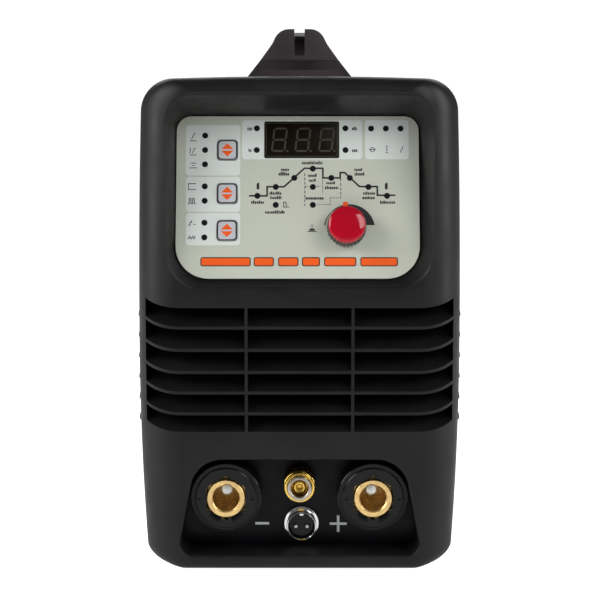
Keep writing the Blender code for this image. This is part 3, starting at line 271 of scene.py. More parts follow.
def soften(obj, width, segments=2, angle=40):
    """Rounds an object's sharp edges."""
    modifier = obj.modifiers.new("soft_edges", "BEVEL")
    modifier.width = width * MM
    modifier.segments = segments
    modifier.limit_method = "ANGLE"
    modifier.angle_limit = math.radians(angle)
    modifier.use_clamp_overlap = True
    bake(obj)


def finish_piece(obj, material, body="machine", replaces=(), angle=35):
    """Gives a piece its material, smooth shading and body, in world coordinates."""
    obj.data.transform(obj.matrix_world)
    obj.matrix_world = Matrix.Identity(4)
    obj.data.materials.clear()
    obj.data.materials.append(material)
    obj.data.shade_smooth()
    obj.data.set_sharp_from_angle(angle=math.radians(angle))
    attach(obj, body)
    if replaces:
        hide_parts(*replaces)
    return obj


def piece(name, bm, matrix, material, body="machine", replaces=(), soft=None, angle=35):
    obj = mesh_object(name, bm, matrix)
    if soft:
        soften(obj, soft)
    return finish_piece(obj, material, body, replaces, angle)


def at(matrix, x, y, z=0.0):
    """A drawing frame moved to a place in it, given in millimetres."""
    return matrix @ Matrix.Translation(Vector((x, y, z)) * MM)


# Materials: patterns are in each piece's own coordinates, so scales are per metre

class Finish:
    """A Principled material with helpers for its procedural detail."""

    def __init__(self, name, colour, roughness, metallic=0.0, specular=0.5):
        self.material = bpy.data.materials.new(name)
        self.material.use_nodes = True
        self.nodes = self.material.node_tree.nodes
        self.links = self.material.node_tree.links
        self.shader = self.nodes["Principled BSDF"]
        self.colour = colour
        self.roughness = roughness
        self.shader.inputs["Base Color"].default_value = (*colour, 1.0)
        self.shader.inputs["Roughness"].default_value = roughness
        self.shader.inputs["Metallic"].default_value = metallic
        self.shader.inputs["Specular IOR Level"].default_value = specular
        self.place = self.nodes.new("ShaderNodeTexCoord").outputs["Object"]
        self.last_normal = None

    def noise(self, scale, detail=3.0, stretch=None):
        source = self.place
        if stretch:
            mapping = self.nodes.new("ShaderNodeMapping")
            mapping.inputs["Scale"].default_value = stretch
            self.links.new(source, mapping.inputs["Vector"])
            source = mapping.outputs["Vector"]
        node = self.nodes.new("ShaderNodeTexNoise")
        node.inputs["Scale"].default_value = scale
        node.inputs["Detail"].default_value = detail
        self.links.new(source, node.inputs["Vector"])
        return node.outputs["Fac"]

    def ramp(self, value, stops):
        node = self.nodes.new("ShaderNodeValToRGB")
        elements = node.color_ramp.elements
        while len(elements) < len(stops):
            elements.new(0.5)
        for element, (position, colour) in zip(elements, stops):
            element.position = position
            element.color = (*colour, 1.0) if isinstance(colour, tuple) else (colour, colour, colour, 1.0)
        self.links.new(value, node.inputs["Fac"])
        return node.outputs["Color"]

    def tint(self, value, spread, low=0.35, high=0.65):
        """Lets the base colour wander by a share of itself."""
        darker = tuple(c * (1 - spread) for c in self.colour)
        lighter = tuple(min(c * (1 + spread), 1) for c in self.colour)
        self.links.new(self.ramp(value, [(low, darker), (high, lighter)]), self.shader.inputs["Base Color"])
        return self

    def sheen_spread(self, value, spread, low=0.35, high=0.65):
        """Lets the roughness wander."""
        stops = [(low, max(self.roughness - spread, 0.02)), (high, min(self.roughness + spread, 1))]
        self.links.new(self.ramp(value, stops), self.shader.inputs["Roughness"])
        return self

    def bump(self, value, distance, strength=1.0):
        """Adds relief, in millimetres."""
        node = self.nodes.new("ShaderNodeBump")
        node.inputs["Distance"].default_value = distance * MM
        node.inputs["Strength"].default_value = strength
        self.links.new(value, node.inputs["Height"])
        if self.last_normal:
            self.links.new(self.last_normal, node.inputs["Normal"])
        self.last_normal = node.outputs["Normal"]
        self.links.new(self.last_normal, self.shader.inputs["Normal"])
        return self

    def rings(self, pitch):
        """Fine turning marks: waves of the distance from the piece's Z axis."""
        flat = self.nodes.new("ShaderNodeMapping")
        flat.inputs["Scale"].default_value = (1, 1, 0.35)
        self.links.new(self.place, flat.inputs["Vector"])
        length = self.nodes.new("ShaderNodeVectorMath")
        length.operation = "LENGTH"
        self.links.new(flat.outputs["Vector"], length.inputs[0])
        wave = self.nodes.new("ShaderNodeMath")
        wave.operation = "SINE"
        scaled = self.nodes.new("ShaderNodeMath")
        scaled.operation = "MULTIPLY"
        scaled.inputs[1].default_value = TURN / (pitch * MM)
        self.links.new(length.outputs["Value"], scaled.inputs[0])
        self.links.new(scaled.outputs[0], wave.inputs[0])
        return wave.outputs[0]


def moulded_plastic(name, colour, roughness=0.48, grain=900, relief=0.05, specular=0.5):
    """Spark-eroded texture: a fine pebble, slightly uneven gloss and faint cloudiness."""
    made = Finish(name, colour, roughness, specular=specular)
    made.tint(made.noise(35, 4), 0.18)
    made.sheen_spread(made.noise(60, 5), 0.06)
    made.bump(made.noise(grain, 2), relief, 0.7)
    return made.material


def gloss_plastic(name, colour, roughness=0.12, specular=0.5):
    made = Finish(name, colour, roughness, specular=specular)
    made.tint(made.noise(25, 3), 0.1)
    made.sheen_spread(made.noise(140, 6), 0.04)
    made.bump(made.noise(180, 2), 0.012, 0.5)
    return made.material


def powder_coat(name, colour):
    """Orange peel about a millimetre across over an even black."""
    made = Finish(name, colour, 0.42)
    made.tint(made.noise(20, 4), 0.15)
    made.sheen_spread(made.noise(90, 4), 0.05)
    made.bump(made.noise(700, 1), 0.04, 0.6)
    made.bump(made.noise(12, 2), 0.25, 0.4)
    return made.material


def turned_metal(name, colour, roughness, pitch=0.12):
    """Lathe-turned metal: rings, a touch of tarnish and handling marks."""
    made = Finish(name, colour, roughness, metallic=1.0)
    made.tint(made.noise(220, 5), 0.14)
    made.sheen_spread(made.noise(500, 4), 0.08)
    made.bump(made.rings(pitch), 0.006, 0.35)
    made.bump(made.noise(900, 3), 0.01, 0.3)
    return made.material


def brushed_metal(name, colour, roughness):
    made = Finish(name, colour, roughness, metallic=1.0)
    made.tint(made.noise(90, 4), 0.1)
    streaks = made.noise(400, 4, stretch=(0.04, 1.0, 1.0))
    made.sheen_spread(streaks, 0.08)
    made.bump(streaks, 0.01, 0.4)
    return made.material


def printed_film(name, colour, roughness=0.42):
    """Screen-printed polycarbonate: a very fine velvet and a faintly uneven ink."""
    made = Finish(name, colour, roughness)
    made.tint(made.noise(30, 4), 0.025)
    made.sheen_spread(made.noise(80, 3), 0.04)
    made.bump(made.noise(2500, 1), 0.01, 0.35)
    return made.material


def soft_rubber(name, colour):
    made = Finish(name, colour, 0.8, specular=0.3)
    made.tint(made.noise(120, 5), 0.3)
    made.bump(made.noise(1200, 3), 0.05, 0.6)
    return made.material


def board_mask(name, colour):
    made = Finish(name, colour, 0.4)
    made.tint(made.noise(160, 2), 0.35)
    made.bump(made.noise(300, 1), 0.05, 0.4)
    return made.material


BODY = moulded_plastic("body_plastic", (0.0068, 0.0069, 0.0074), roughness=0.44, specular=0.24)
HANDLE = moulded_plastic("handle_plastic", (0.034, 0.0265, 0.027), roughness=0.55, relief=0.03, specular=0.25)
INNER = moulded_plastic("inner_plastic", (0.012, 0.012, 0.013), roughness=0.4, relief=0.02)
COAT = powder_coat("casing_coat", (0.012, 0.0125, 0.013))
PLATE = gloss_plastic("plate_gloss", (0.004, 0.004, 0.006), 0.3, 0.14)
COLLAR = gloss_plastic("collar_gloss", (0.003, 0.0036, 0.0032), 0.2, 0.24)
RUBBER = soft_rubber("foot_rubber", (0.015, 0.015, 0.015))
FILM = printed_film("label_film", (0.54, 0.565, 0.475))
PALE = printed_film("pale_print", (0.70, 0.745, 0.71))
DARK = printed_film("dark_print", (0.018, 0.018, 0.02), 0.35)
ORANGE = printed_film("orange_print", (0.88, 0.105, 0.003))
KEY = printed_film("key_face", (0.52, 0.53, 0.56), 0.38)
LENS = gloss_plastic("indicator_lens", (0.007, 0.007, 0.010), 0.4, 0.15)
TINT = gloss_plastic("display_tint", (0.0075, 0.0055, 0.003), 0.3, 0.1)
SEGMENT = gloss_plastic("display_segment", (0.042, 0.034, 0.02), 0.4)
RED = gloss_plastic("knob_red", (0.37, 0.0, 0.012), 0.07)
SKIRT = moulded_plastic("knob_skirt_grey", (0.05, 0.05, 0.052), roughness=0.35, relief=0.01)
BRASS = turned_metal("turned_brass", (0.80, 0.56, 0.24), 0.3)
GILT = turned_metal("gilt_brass", (0.85, 0.56, 0.12), 0.2)
NICKEL = turned_metal("nickel_collar", (0.50, 0.46, 0.38), 0.34)
CHROME = turned_metal("plated_shell", (0.82, 0.82, 0.84), 0.12)
STEEL = brushed_metal("plated_steel", (0.62, 0.61, 0.6), 0.34)
SCREW = brushed_metal("blackened_screw", (0.12, 0.12, 0.12), 0.4)
ZINC = brushed_metal("tray_zinc", (0.5, 0.51, 0.52), 0.38)
ALUMINIUM = brushed_metal("heatsink_aluminium", (0.62, 0.63, 0.64), 0.38)
COPPER = brushed_metal("copper_winding", (0.62, 0.27, 0.14), 0.32)
FERRITE = moulded_plastic("ferrite_core", (0.03, 0.03, 0.033), roughness=0.6)
BOARD = board_mask("board_mask", (0.015, 0.1, 0.04))
HOSE = soft_rubber("gas_hose_blue", (0.02, 0.08, 0.3))
PIN = turned_metal("lock_pin_steel", (0.66, 0.66, 0.63), 0.5)
MARK = printed_film("silver_mark", (0.78, 0.84, 0.82))


# Camera, floor and light

CAMERA_AT = (0.0, -1.015, 0.24575)
CAMERA_PITCH = math.radians(7.266)
CAMERA_LENS = 101.18
CAMERA_SHIFT = 0.0008
FLOOR_HALF = 12000
FLOOR_GLOW = {"To Min": 0.2, "To Max": 0.97}
LIT_POINT = (0, 0, 0.13)
LIGHTS = {
    "key_left": ((-1.35, -1.0, 0.95), (0.9, 0.8), 13),
    "key_right": ((0.95, -1.25, 1.0), (0.8, 0.8), 10),
    "strip_left": ((-1.1, -0.3, 0.5), (0.3, 0.8), 7),
    "strip_right": ((1.1, -0.3, 0.5), (0.3, 0.8), 7),
    "back_above": ((0, 1.3, 1.2), (1.6, 0.8), 8),
}


def build_camera():
    data = bpy.data.cameras.new("camera")
    data.lens = CAMERA_LENS
    data.shift_x = CAMERA_SHIFT
    camera = bpy.data.objects.new("camera", data)
    camera.location = CAMERA_AT
    camera.rotation_euler = (RIGHT_ANGLE - CAMERA_PITCH, 0, 0)
    bpy.context.scene.collection.objects.link(camera)
    bpy.context.scene.camera = camera


def build_floor():
    """A pale floor that glows more for the camera than for the machine standing on it."""
    bm = bmesh.new()
    bmesh.ops.create_grid(bm, x_segments=4, y_segments=4, size=FLOOR_HALF)
    floor = mesh_object("studio_floor", bm, WORLD)
    made = Finish("studio_floor", (0.9, 0.9, 0.9), 0.7, specular=0.2)
    made.tint(made.noise(3, 2), 0.01)
    made.shader.inputs["Emission Color"].default_value = (1, 1, 1, 1)
    path = made.nodes.new("ShaderNodeLightPath")
    glow = made.nodes.new("ShaderNodeMapRange")
    for name, strength in FLOOR_GLOW.items():
        glow.inputs[name].default_value = strength
    made.links.new(path.outputs["Is Camera Ray"], glow.inputs["Value"])
    made.links.new(glow.outputs["Result"], made.shader.inputs["Emission Strength"])
    floor.data.materials.append(made.material)


def area_light(name, place, size, power):
    data = bpy.data.lights.new(name, "AREA")
    data.shape = "RECTANGLE"
    data.size, data.size_y = size
    data.energy = power
    light = bpy.data.objects.new(name, data)
    light.location = place
    light.rotation_euler = (Vector(LIT_POINT) - Vector(place)).to_track_quat("-Z", "Y").to_euler()
    bpy.context.scene.collection.objects.link(light)


def build_world():
    """White behind the machine, with a dimmer surround in its reflections."""
    world = bpy.data.worlds.new("studio")
    world.use_nodes = True
    nodes, links = world.node_tree.nodes, world.node_tree.links
    surround = nodes["Background"]
    surround.inputs["Color"].default_value = (0.13, 0.132, 0.138, 1)
    white = nodes.new("ShaderNodeBackground")
    white.inputs["Color"].default_value = (1, 1, 1, 1)
    white.inputs["Strength"].default_value = 1.05
    mix = nodes.new("ShaderNodeMixShader")
    path = nodes.new("ShaderNodeLightPath")
    links.new(path.outputs["Is Camera Ray"], mix.inputs["Fac"])
    links.new(surround.outputs[0], mix.inputs[1])
    links.new(white.outputs[0], mix.inputs[2])
    links.new(mix.outputs[0], nodes["World Output"].inputs["Surface"])
    bpy.context.scene.world = world


def build_lights():
    for name, settings in LIGHTS.items():
        area_light(name, *settings)


# End mouldings

def quarter(radius, depth):
    """How far a quarter-round edge lies inside the full outline at a depth below its face."""
    if depth >= radius:
        return 0.0
    return radius - math.sqrt(radius ** 2 - (radius - depth) ** 2)


def half_width(height):
    rise = height - CROWN_HEIGHT
    return HALF_WIDTH - (CROWN_UPPER if rise > 0 else CROWN_LOWER) * rise ** 2


def corner_arc(centre, radii, start, steps=12):
    """A quarter of an ellipse, from an angle in degrees."""
    angles = [math.radians(start + 90 * k / steps) for k in range(steps + 1)]
    return [(centre[0] + radii[0] * math.cos(a), centre[1] + radii[1] * math.sin(a)) for a in angles]


def moulding_ring(depth, wall=0.0):
    """An end moulding's outline at a depth behind its face, wall millimetres inside its skin."""
    side, top, bottom = (
        wall + quarter(edge - wall if edge > wall else LEAST_EDGE, max(depth - wall, 0))
        for edge in (SIDE_ROUND, TOP_ROUND, BOTTOM_ROUND)
    )
    low, high = MOULDING_BOTTOM + bottom, MOULDING_TOP - top
    low_radii, high_radii = (
        [max(radius - CORNER_TIGHTENING * inset, LEAST_CORNER) for radius, inset in zip(corner, insets)]
        for corner, insets in ((BOTTOM_CORNER, (side, bottom)), (TOP_CORNER, (side, top)))
    )
    low_end, high_start = low + low_radii[1], high - high_radii[1]
    right = corner_arc((half_width(low_end) - side - low_radii[0], low_end), low_radii, -90)
    side_steps = 12
    for k in range(1, side_steps):
        height = low_end + (high_start - low_end) * k / side_steps
        right.append((half_width(height) - side, height))
    arch_start = half_width(high_start) - side - high_radii[0]
    right += corner_arc((arch_start, high_start), high_radii, 0)
    arch_steps = 4
    for k in range(1, arch_steps):
        share = k / arch_steps
        right.append((arch_start * (1 - share), high + TOP_ARCH * (1 - (1 - share) ** 2)))
    return raised(right + [(0, high + TOP_ARCH)] + flipped(right), -depth)


def moulding_shell(name, matrix):
    """An end moulding's outer skin, and the tool that hollows it."""
    steps = 14
    depths = [SIDE_ROUND * (1 - math.cos(RIGHT_ANGLE * k / steps)) for k in range(steps + 1)]
    outer, hollow = bmesh.new(), bmesh.new()
    loft(outer, [moulding_ring(d) for d in (*depths, MOULDING_DEPTH)])
    loft(hollow, [moulding_ring(d, WALL) for d in (WALL, *HOLLOW_DEPTHS, SIDE_ROUND, MOULDING_DEPTH + 1)])
    return mesh_object(name, outer, matrix), mesh_object(name + "_hollow", hollow, matrix)


# The label, its pocket and the grille

LABEL_MIDDLE = -0.9
LABEL_HALF_WIDTH = 60.3
LABEL_HEIGHT = 82.2
LABEL_TOP_CORNER = 7.4
LABEL_BOTTOM_CORNER = 16.4
RIM_HALF_WIDTH = 65.4
RIM_BOTTOM = 148.0
RIM_TOP = 240.5
RIM_TOP_CORNER = 12.0
RIM_BOTTOM_CORNER = 19.0
RIM_ROLL = ((2.0, 3.2), (0.0, 3.0), (-0.2, 2.0), (-0.7, 1.0), (-1.5, 0.35), (-2.6, 0.0))
BACKING_RIM = (-1.0, 2.5)
BACKING_FLOOR = (-3.8, 2.9)
WINDOW_HALF_WIDTH = 56.0
WINDOW_SPAN = (5.0, 80.6)
WINDOW_DEPTH = 12.0
GRILLE_TOP = 137.15
GRILLE_BOTTOM = 75.4
SLAT_TOPS = (128.0, 116.9, 105.9, 95.6, 85.2)
SLAT_THICKNESS = 1.5
SLAT_RISE = math.tan(math.radians(24.5))
GRILLE_HALF_WIDTH = 76.4
GRILLE_DEPTH = 26.0
GRILLE_BLOCK_INSET = 2.0
GRILLE_BLOCK_SPAN = (GRILLE_BOTTOM - 3, GRILLE_TOP + 10)
DIVIDER_X = 26.3
DIVIDER_WIDTH = 1.5
RECESS_TOP = (51.6, 60.9, 16.0)
RECESS_BOTTOM = (60.9, 12.4, 6.0)
RECESS_ROLL = ((2.0, 1.4), (0.0, 1.2), (-0.2, 0.7), (-0.6, 0.3), (-1.3, 0.0))
RECESS_BLOCK_HALF_WIDTH = 66.0
RECESS_BLOCK_SPAN = (4.0, 66.0)
PLATE_DEPTH = millimetres("connector_plate")[0].y - FRONT_Y


def label_outline(margin=0.0, steps=14):
    left, right = (LABEL_MIDDLE + side * (LABEL_HALF_WIDTH + margin) for side in (-1, 1))
    top, bottom = LABEL_TOP_CORNER + margin, LABEL_BOTTOM_CORNER + margin
    low, high = -margin, LABEL_HEIGHT + margin
    return rounded([(right, low, bottom), (right, high, top), (left, high, top), (left, low, bottom)], steps)


def rim_outline(margin=0.0, steps=14):
    wide, low, high = RIM_HALF_WIDTH + margin, RIM_BOTTOM - margin, RIM_TOP + margin
    top, bottom = RIM_TOP_CORNER + margin, RIM_BOTTOM_CORNER + margin
    return rounded(mirrored([(wide, low, bottom), (wide, high, top)]), steps)


def panel_ring(out, margin):
    """The label's outline on the leaning panel, in the front drawing frame."""
    points = []
    for x, up in label_outline(margin):
        rise = up * math.cos(LEAN) + out * math.sin(LEAN)
        forward = out * math.cos(LEAN) - up * math.sin(LEAN)
        points.append((x, PANEL_Z + rise, forward - PANEL_DEPTH))
    return points


def pocket_tool():
    """The label's pocket, with a rolled edge at the rim."""
    rings = [raised(rim_outline(margin), z) for z, margin in RIM_ROLL]
    return solid("pocket", FRONT, loft, [*rings, panel_ring(-LABEL_THICKNESS - GAP, 0.4)])


def pocket_backing():
    """What stays of the solid moulding behind the pocket's walls."""
    depth, margin = BACKING_RIM
    rings = [raised(rim_outline(margin), depth), panel_ring(*BACKING_FLOOR)]
    return solid("pocket_backing", FRONT, loft, rings)


def grille_openings():
    bm = bmesh.new()
    tops = [GRILLE_TOP] + [top - SLAT_THICKNESS for top in SLAT_TOPS]
    bottoms = [*SLAT_TOPS, GRILLE_BOTTOM]
    near, far = DIVIDER_X - DIVIDER_WIDTH / 2, DIVIDER_X + DIVIDER_WIDTH / 2
    columns = ((-GRILLE_HALF_WIDTH, -far), (-near, near), (far, GRILLE_HALF_WIDTH))
    for top, bottom in zip(tops, bottoms):
        for left, right in columns:
            corners = ((left, bottom), (right, bottom), (right, top), (left, top))
            loft(bm, [[(x, y - z * SLAT_RISE, z) for x, y in corners] for z in (AHEAD, -GRILLE_DEPTH - 2)])
    return mesh_object("grille_openings", bm, FRONT)


def recess_outline(margin):
    bottom, top = ([x + margin, y + side * margin, radius + margin]
                   for side, (x, y, radius) in ((-1, RECESS_BOTTOM), (1, RECESS_TOP)))
    return rounded(mirrored([bottom, top]), 10)


def recess_tool():
    """The connector recess, with a rolled edge that opens towards the front."""
    steps = (*RECESS_ROLL, (-PLATE_DEPTH - 2, 0.0))
    return solid("recess", FRONT, loft, [raised(recess_outline(margin), z) for z, margin in steps])


def block(name, matrix, half_width, span, back, front=AHEAD):
    return solid(name, matrix, box, (-half_width, span[0], back), (half_width, span[1], front))


def build_bezel():
    bezel, hollow = moulding_shell("bezel_moulding", FRONT)
    shape(hollow, pocket_backing(),
          block("grille_block", FRONT, HALF_WIDTH - GRILLE_BLOCK_INSET, GRILLE_BLOCK_SPAN, -GRILLE_DEPTH),
          block("recess_block", FRONT, RECESS_BLOCK_HALF_WIDTH, RECESS_BLOCK_SPAN, -PLATE_DEPTH + GAP))
    shape(bezel, hollow, pocket_tool(), grille_openings(), recess_tool(),
          block("label_window", PANEL, WINDOW_HALF_WIDTH, WINDOW_SPAN, -WINDOW_DEPTH, 1))
    finish_piece(bezel, BODY, replaces=("front_bezel",), angle=28)


# The back panel and where its fittings stand

FAN_CENTRE = (0.0, 95.0)
FAN_OPENING = 43.0
FAN_SCREW = 41.25
SWITCH_CENTRE = (0.0, 203.0)
SWITCH_OPENING = (13.8, 10.8)
GLAND_CENTRE = (46.0, 203.0)
GLAND_OPENING = 10.3
INLET_CENTRE = (-46.0, 32.0)
INLET_OPENING = 5.3


def build_rear_moulding():
    panel, hollow = moulding_shell("rear_moulding", REAR)
    holes = bmesh.new()
    back, front = -WALL - 1, 1
    post(holes, FAN_CENTRE, back, front, FAN_OPENING, sides=72)
    (x, y), (wide, tall) = SWITCH_CENTRE, SWITCH_OPENING
    box(holes, (x - wide, y - tall, back), (x + wide, y + tall, front))
    post(holes, GLAND_CENTRE, back, front, GLAND_OPENING)
    post(holes, INLET_CENTRE, back, front, INLET_OPENING)
    shape(panel, hollow, mesh_object("rear_holes", holes, REAR))
    finish_piece(panel, BODY, replaces=("rear_panel",), angle=28)


# Casing, its screws and the feet

CASING_HALF_WIDTH = 79.3
CASING_TOP = millimetres("casing_cover")[1].z
CASING_BOTTOM = 6.0
CASING_CORNER = 12.0
SHEET = 1.2
LOUVRE_TOP = 133.4
LOUVRE_PITCH = 10.9
LOUVRE_COUNT = 6
LOUVRE_HEIGHT = 7.0
LOUVRE_BULGE = 5.0
LOUVRE_SPAN = (-151.0, -85.0)
LOUVRE_END = 8.0
LOUVRE_FADE = 0.06
HOLLOW_REACH = 3.0
SEAT = 0.6
CASING_SCREWS = [(y, z) for y in (-140.0, 122.0) for z in (18.0, 226.0)]
SCREW_RADIUS = 3.1
SCREW_SEAT_RADIUS = 3.4
SCREW_TURN = 0.7
FAN_SCREW_RISE = 2.5
FOOT_PROFILE = ((0, 0), (7.4, 0), (8.2, 0.4), (9.0, 7.4), (8.6, 8.0), (0, 8.0))


def louvre(bm, side, top, inset):
    """One pressed louvre: a hood that bulges to an open lower lip and fades out at both ends."""
    front, back = LOUVRE_SPAN
    rings = []
    stations, arcs = 14, 7
    low = top - LOUVRE_HEIGHT - inset
    base = CASING_HALF_WIDTH - (HOLLOW_REACH if inset else SEAT)
    for k in range(stations + 1):
        y = front + inset + (back - front - 2 * inset) * k / stations
        away = min(y - front, back - y) / LOUVRE_END
        bulge = LOUVRE_BULGE * math.sin(RIGHT_ANGLE * min(max(away, LOUVRE_FADE), 1)) - inset
        hood = [(side * base, y, low), (side * base, y, top - inset)]
        for j in range(1, arcs + 1):
            angle = RIGHT_ANGLE * j / arcs
            reach = CASING_HALF_WIDTH - SEAT + max(bulge + SEAT, SEAT / 2) * math.sin(angle)
            hood.append((side * reach, y, low + (top - inset - low) * math.cos(angle)))
        rings.append(hood)
    loft(bm, rings)


def casing_outline(inset):
    """The casing's arch: up one side, over the top and down the other."""
    middle = (CASING_HALF_WIDTH - CASING_CORNER, CASING_TOP - CASING_CORNER)
    radius = CASING_CORNER - inset
    right = [(CASING_HALF_WIDTH - inset, CASING_BOTTOM), *corner_arc(middle, (radius, radius), 0)]
    return right + flipped(right)


def build_casing():
    outline = casing_outline(0.0) + casing_outline(SHEET)[::-1]
    cover = solid("casing_sheet", SECTION, prism, outline, -CASING_BACK, -CASING_FRONT)
    hoods, hollows, seats = bmesh.new(), bmesh.new(), bmesh.new()
    for side in (-1, 1):
        for k in range(LOUVRE_COUNT):
            louvre(hoods, side, LOUVRE_TOP - k * LOUVRE_PITCH, 0.0)
            louvre(hollows, side, LOUVRE_TOP - k * LOUVRE_PITCH, 1.0)
        for y, z in CASING_SCREWS:
            inner, outer = side * (CASING_HALF_WIDTH - SEAT), side * (CASING_HALF_WIDTH + 1)
            rod(seats, (inner, y, z), (outer, y, z), SCREW_SEAT_RADIUS)
    shape(cover, mesh_object("hoods", hoods, WORLD), operation="UNION")
    shape(cover, mesh_object("hollows", hollows, WORLD), mesh_object("screw_seats", seats, WORLD))
    finish_piece(cover, COAT, replaces=("casing_cover",), angle=30)


def cross_outline(arm, blade):
    """Outline of a cross whose arms have the given reach and half width."""
    corner, outline = [(arm, -blade), (arm, blade), (blade, blade)], []
    for _ in range(4):
        outline += corner
        corner = [(-y, x) for x, y in corner]
    return outline


def screw_mesh(radius):
    """A flat pan head with a cross recess, standing on z = 0."""
    profile = [(0, 0.0), (radius, 0.0), (radius, 0.5), (radius * 0.86, 0.95), (radius * 0.5, 1.25), (0, 1.35)]
    screw = solid("screw_pattern", WORLD, lathe, profile, sides=28)
    shape(screw, solid("cross", WORLD, prism, cross_outline(radius * 0.58, radius * 0.13), 0.45, 2))
    mesh = screw.data
    bpy.data.objects.remove(screw)
    return mesh


def place_screws(name, mesh, matrices):
    for number, matrix in enumerate(matrices, start=1):
        obj = bpy.data.objects.new(f"{name}_{number}", mesh.copy())
        bpy.context.scene.collection.objects.link(obj)
        obj.matrix_world = matrix @ Matrix.Rotation(SCREW_TURN * number, 4, "Z")
        finish_piece(obj, SCREW)


def build_screws():
    small = screw_mesh(SCREW_RADIUS)
    sides = []
    for side in (-1, 1):
        turn = Matrix.Rotation(side * RIGHT_ANGLE, 4, "Y")
        sides += [at(WORLD, side * (CASING_HALF_WIDTH - SEAT), y, z) @ turn for y, z in CASING_SCREWS]
    place_screws("casing_screw", small, sides)
    fan = at(REAR, *FAN_CENTRE, FAN_SCREW_RISE)
    place_screws("fan_screw", small, [at(fan, x * FAN_SCREW, y * FAN_SCREW) for x in (-1, 1) for y in (-1, 1)])


def build_feet():
    for place in ("front_left", "front_right", "rear_left", "rear_right"):
        low, high = millimetres(f"rubber_foot_{place}")
        middle = (low + high) / 2
        piece(f"foot_{place}", sketch(lathe, FOOT_PROFILE, sides=40), at(WORLD, middle.x, middle.y), RUBBER,
              replaces=(f"rubber_foot_{place}",))


# Handle

HANDLE_LOW, HANDLE_HIGH = millimetres("handle")
HANDLE_MIDDLE = (HANDLE_LOW.y + HANDLE_HIGH.y) / 2
HANDLE_HALF_LENGTH = (HANDLE_HIGH.y - HANDLE_LOW.y) / 2
HANDLE_BASE = HANDLE_LOW.z
HANDLE_CREST = 273.9
PLATE_FLANK = ((31.3, HANDLE_BASE, 0.5), (19.6, 258.6, 30.0), (14.0, 266.3, 14.0), (10.2, HANDLE_CREST, 8.0))
LEG_FLANK = ((30.6, HANDLE_BASE - 2, 1.0), (18.9, 258.6, 30.0), (12.6, 266.3, 8.0), (10.2, 270.5, 3.0),
             (9.6, 280.0, 2.0))
LEG_PLATE = 6.5
LEG_LENGTH = 26.0
FINGER_ARC = 20.0
STRAP_CHANNEL = 12.5
STRAP_SLOT = ((18.3, 253.4, 0.8), (18.3, 258.1, 2.2))
CREST_NOTCH = ((2.6, 260.6, 0.7), (2.6, 278.0, 0.7))
GRIP_END_TOP = 270.5
GRIP_THICKNESS = 9.0
UPPER_BRIDGE = ((11.0, 268.8), (10.4, GRIP_END_TOP))
LOWER_BRIDGE = ((29.0, HANDLE_BASE), (26.0, 248.6))
OVERLAP = 0.5


def side_profile(steps=14):
    """Side view of the grip and legs: an arched top over a finger gap with rounded ends."""
    start = HANDLE_HALF_LENGTH - LEG_PLATE - STRAP_CHANNEL
    sagitta = HANDLE_HIGH.z - GRIP_END_TOP
    top = [(start * k / steps, HANDLE_HIGH.z - sagitta * (k / steps) ** 2) for k in range(steps + 1)]
    rise = HANDLE_HIGH.z - GRIP_THICKNESS - HANDLE_BASE
    inner = []
    for k in range(steps + 1):
        angle = RIGHT_ANGLE * k / steps
        along = start - LEG_LENGTH - FINGER_ARC * (1 - math.cos(angle))
        inner.append((along, HANDLE_BASE + rise * math.sin(angle)))
    half = top + [(start, HANDLE_BASE)] + inner
    return flipped(half[1:]) + half


def handle_end(plates, slots, end):
    """The plate at one end of the handle, its bridges to the leg, and the tools for its slots."""
    face = HANDLE_MIDDLE + end * HANDLE_HALF_LENGTH
    inner = face - end * LEG_PLATE
    behind = inner - end * (STRAP_CHANNEL + 2)
    prism(plates, rounded(mirrored(PLATE_FLANK), 8), *sorted((-face, -inner)))
    near, far = sorted((-inner, -behind))
    for bridge in (UPPER_BRIDGE, LOWER_BRIDGE):
        prism(plates, [*bridge, *flipped(bridge)], near - OVERLAP, far + OVERLAP)
    near, far = sorted((-face - end, end - inner))
    prism(slots, rounded(mirrored(STRAP_SLOT), 6), near, far)
    prism(slots, rounded(mirrored(CREST_NOTCH), 4), near, far)


def build_handle():
    handle = solid("carrying_handle", at(SIDE, HANDLE_MIDDLE, 0), prism, side_profile(), -40, 40)
    flanks = solid("flanks", SECTION, prism, rounded(mirrored(LEG_FLANK), 6), -200, 200)
    shape(handle, flanks, operation="INTERSECT")
    plates, slots = bmesh.new(), bmesh.new()
    for end in (-1, 1):
        handle_end(plates, slots, end)
    shape(handle, mesh_object("plates", plates, SECTION), operation="UNION")
    shape(handle, mesh_object("slots", slots, SECTION))
    soften(handle, 0.5)
    finish_piece(handle, HANDLE, replaces=("handle",), angle=30)


# Control panel: prints lie on the label, in its own drawing frame

PRINT = 0.06
PRINT_FOOT = -0.1
KEY_X = -35.9
KEY_HEIGHTS = {"upper": 64.8, "middle": 42.7, "lower": 24.0}
KEY_HALF = (4.9, 5.05)
KEY_CORNER = 1.9
KEY_SPAN = (-1.9, 0.7)
KEY_FLANGE = 0.9
KEY_ARROW = (2.95, 0.45, 3.35)
DISPLAY_CENTRE = (1.1, 70.2)
DISPLAY_HALF = (18.4, 9.15)
KNOB_CENTRE = (23.2, 25.1)
SHAFT_HOLE = 3.7
LED_RADIUS = 1.5
LENS_PROFILE = ((0, -0.2), (LED_RADIUS, -0.2), (LED_RADIUS, 0.08), (LED_RADIUS * 0.7, 0.2), (0, 0.24))
TRACE = ((-25.05, 41.6), (-16.1, 41.6), (-16.1, 46.2), (-7.7, 46.2), (2.5, 55.6), (11.6, 55.6), (11.6, 50.7),
         (20.2, 50.7), (20.2, 53.4), (22.4, 53.4), (29.8, 46.3), (38.6, 46.3), (38.6, 41.9), (47.6, 41.9))
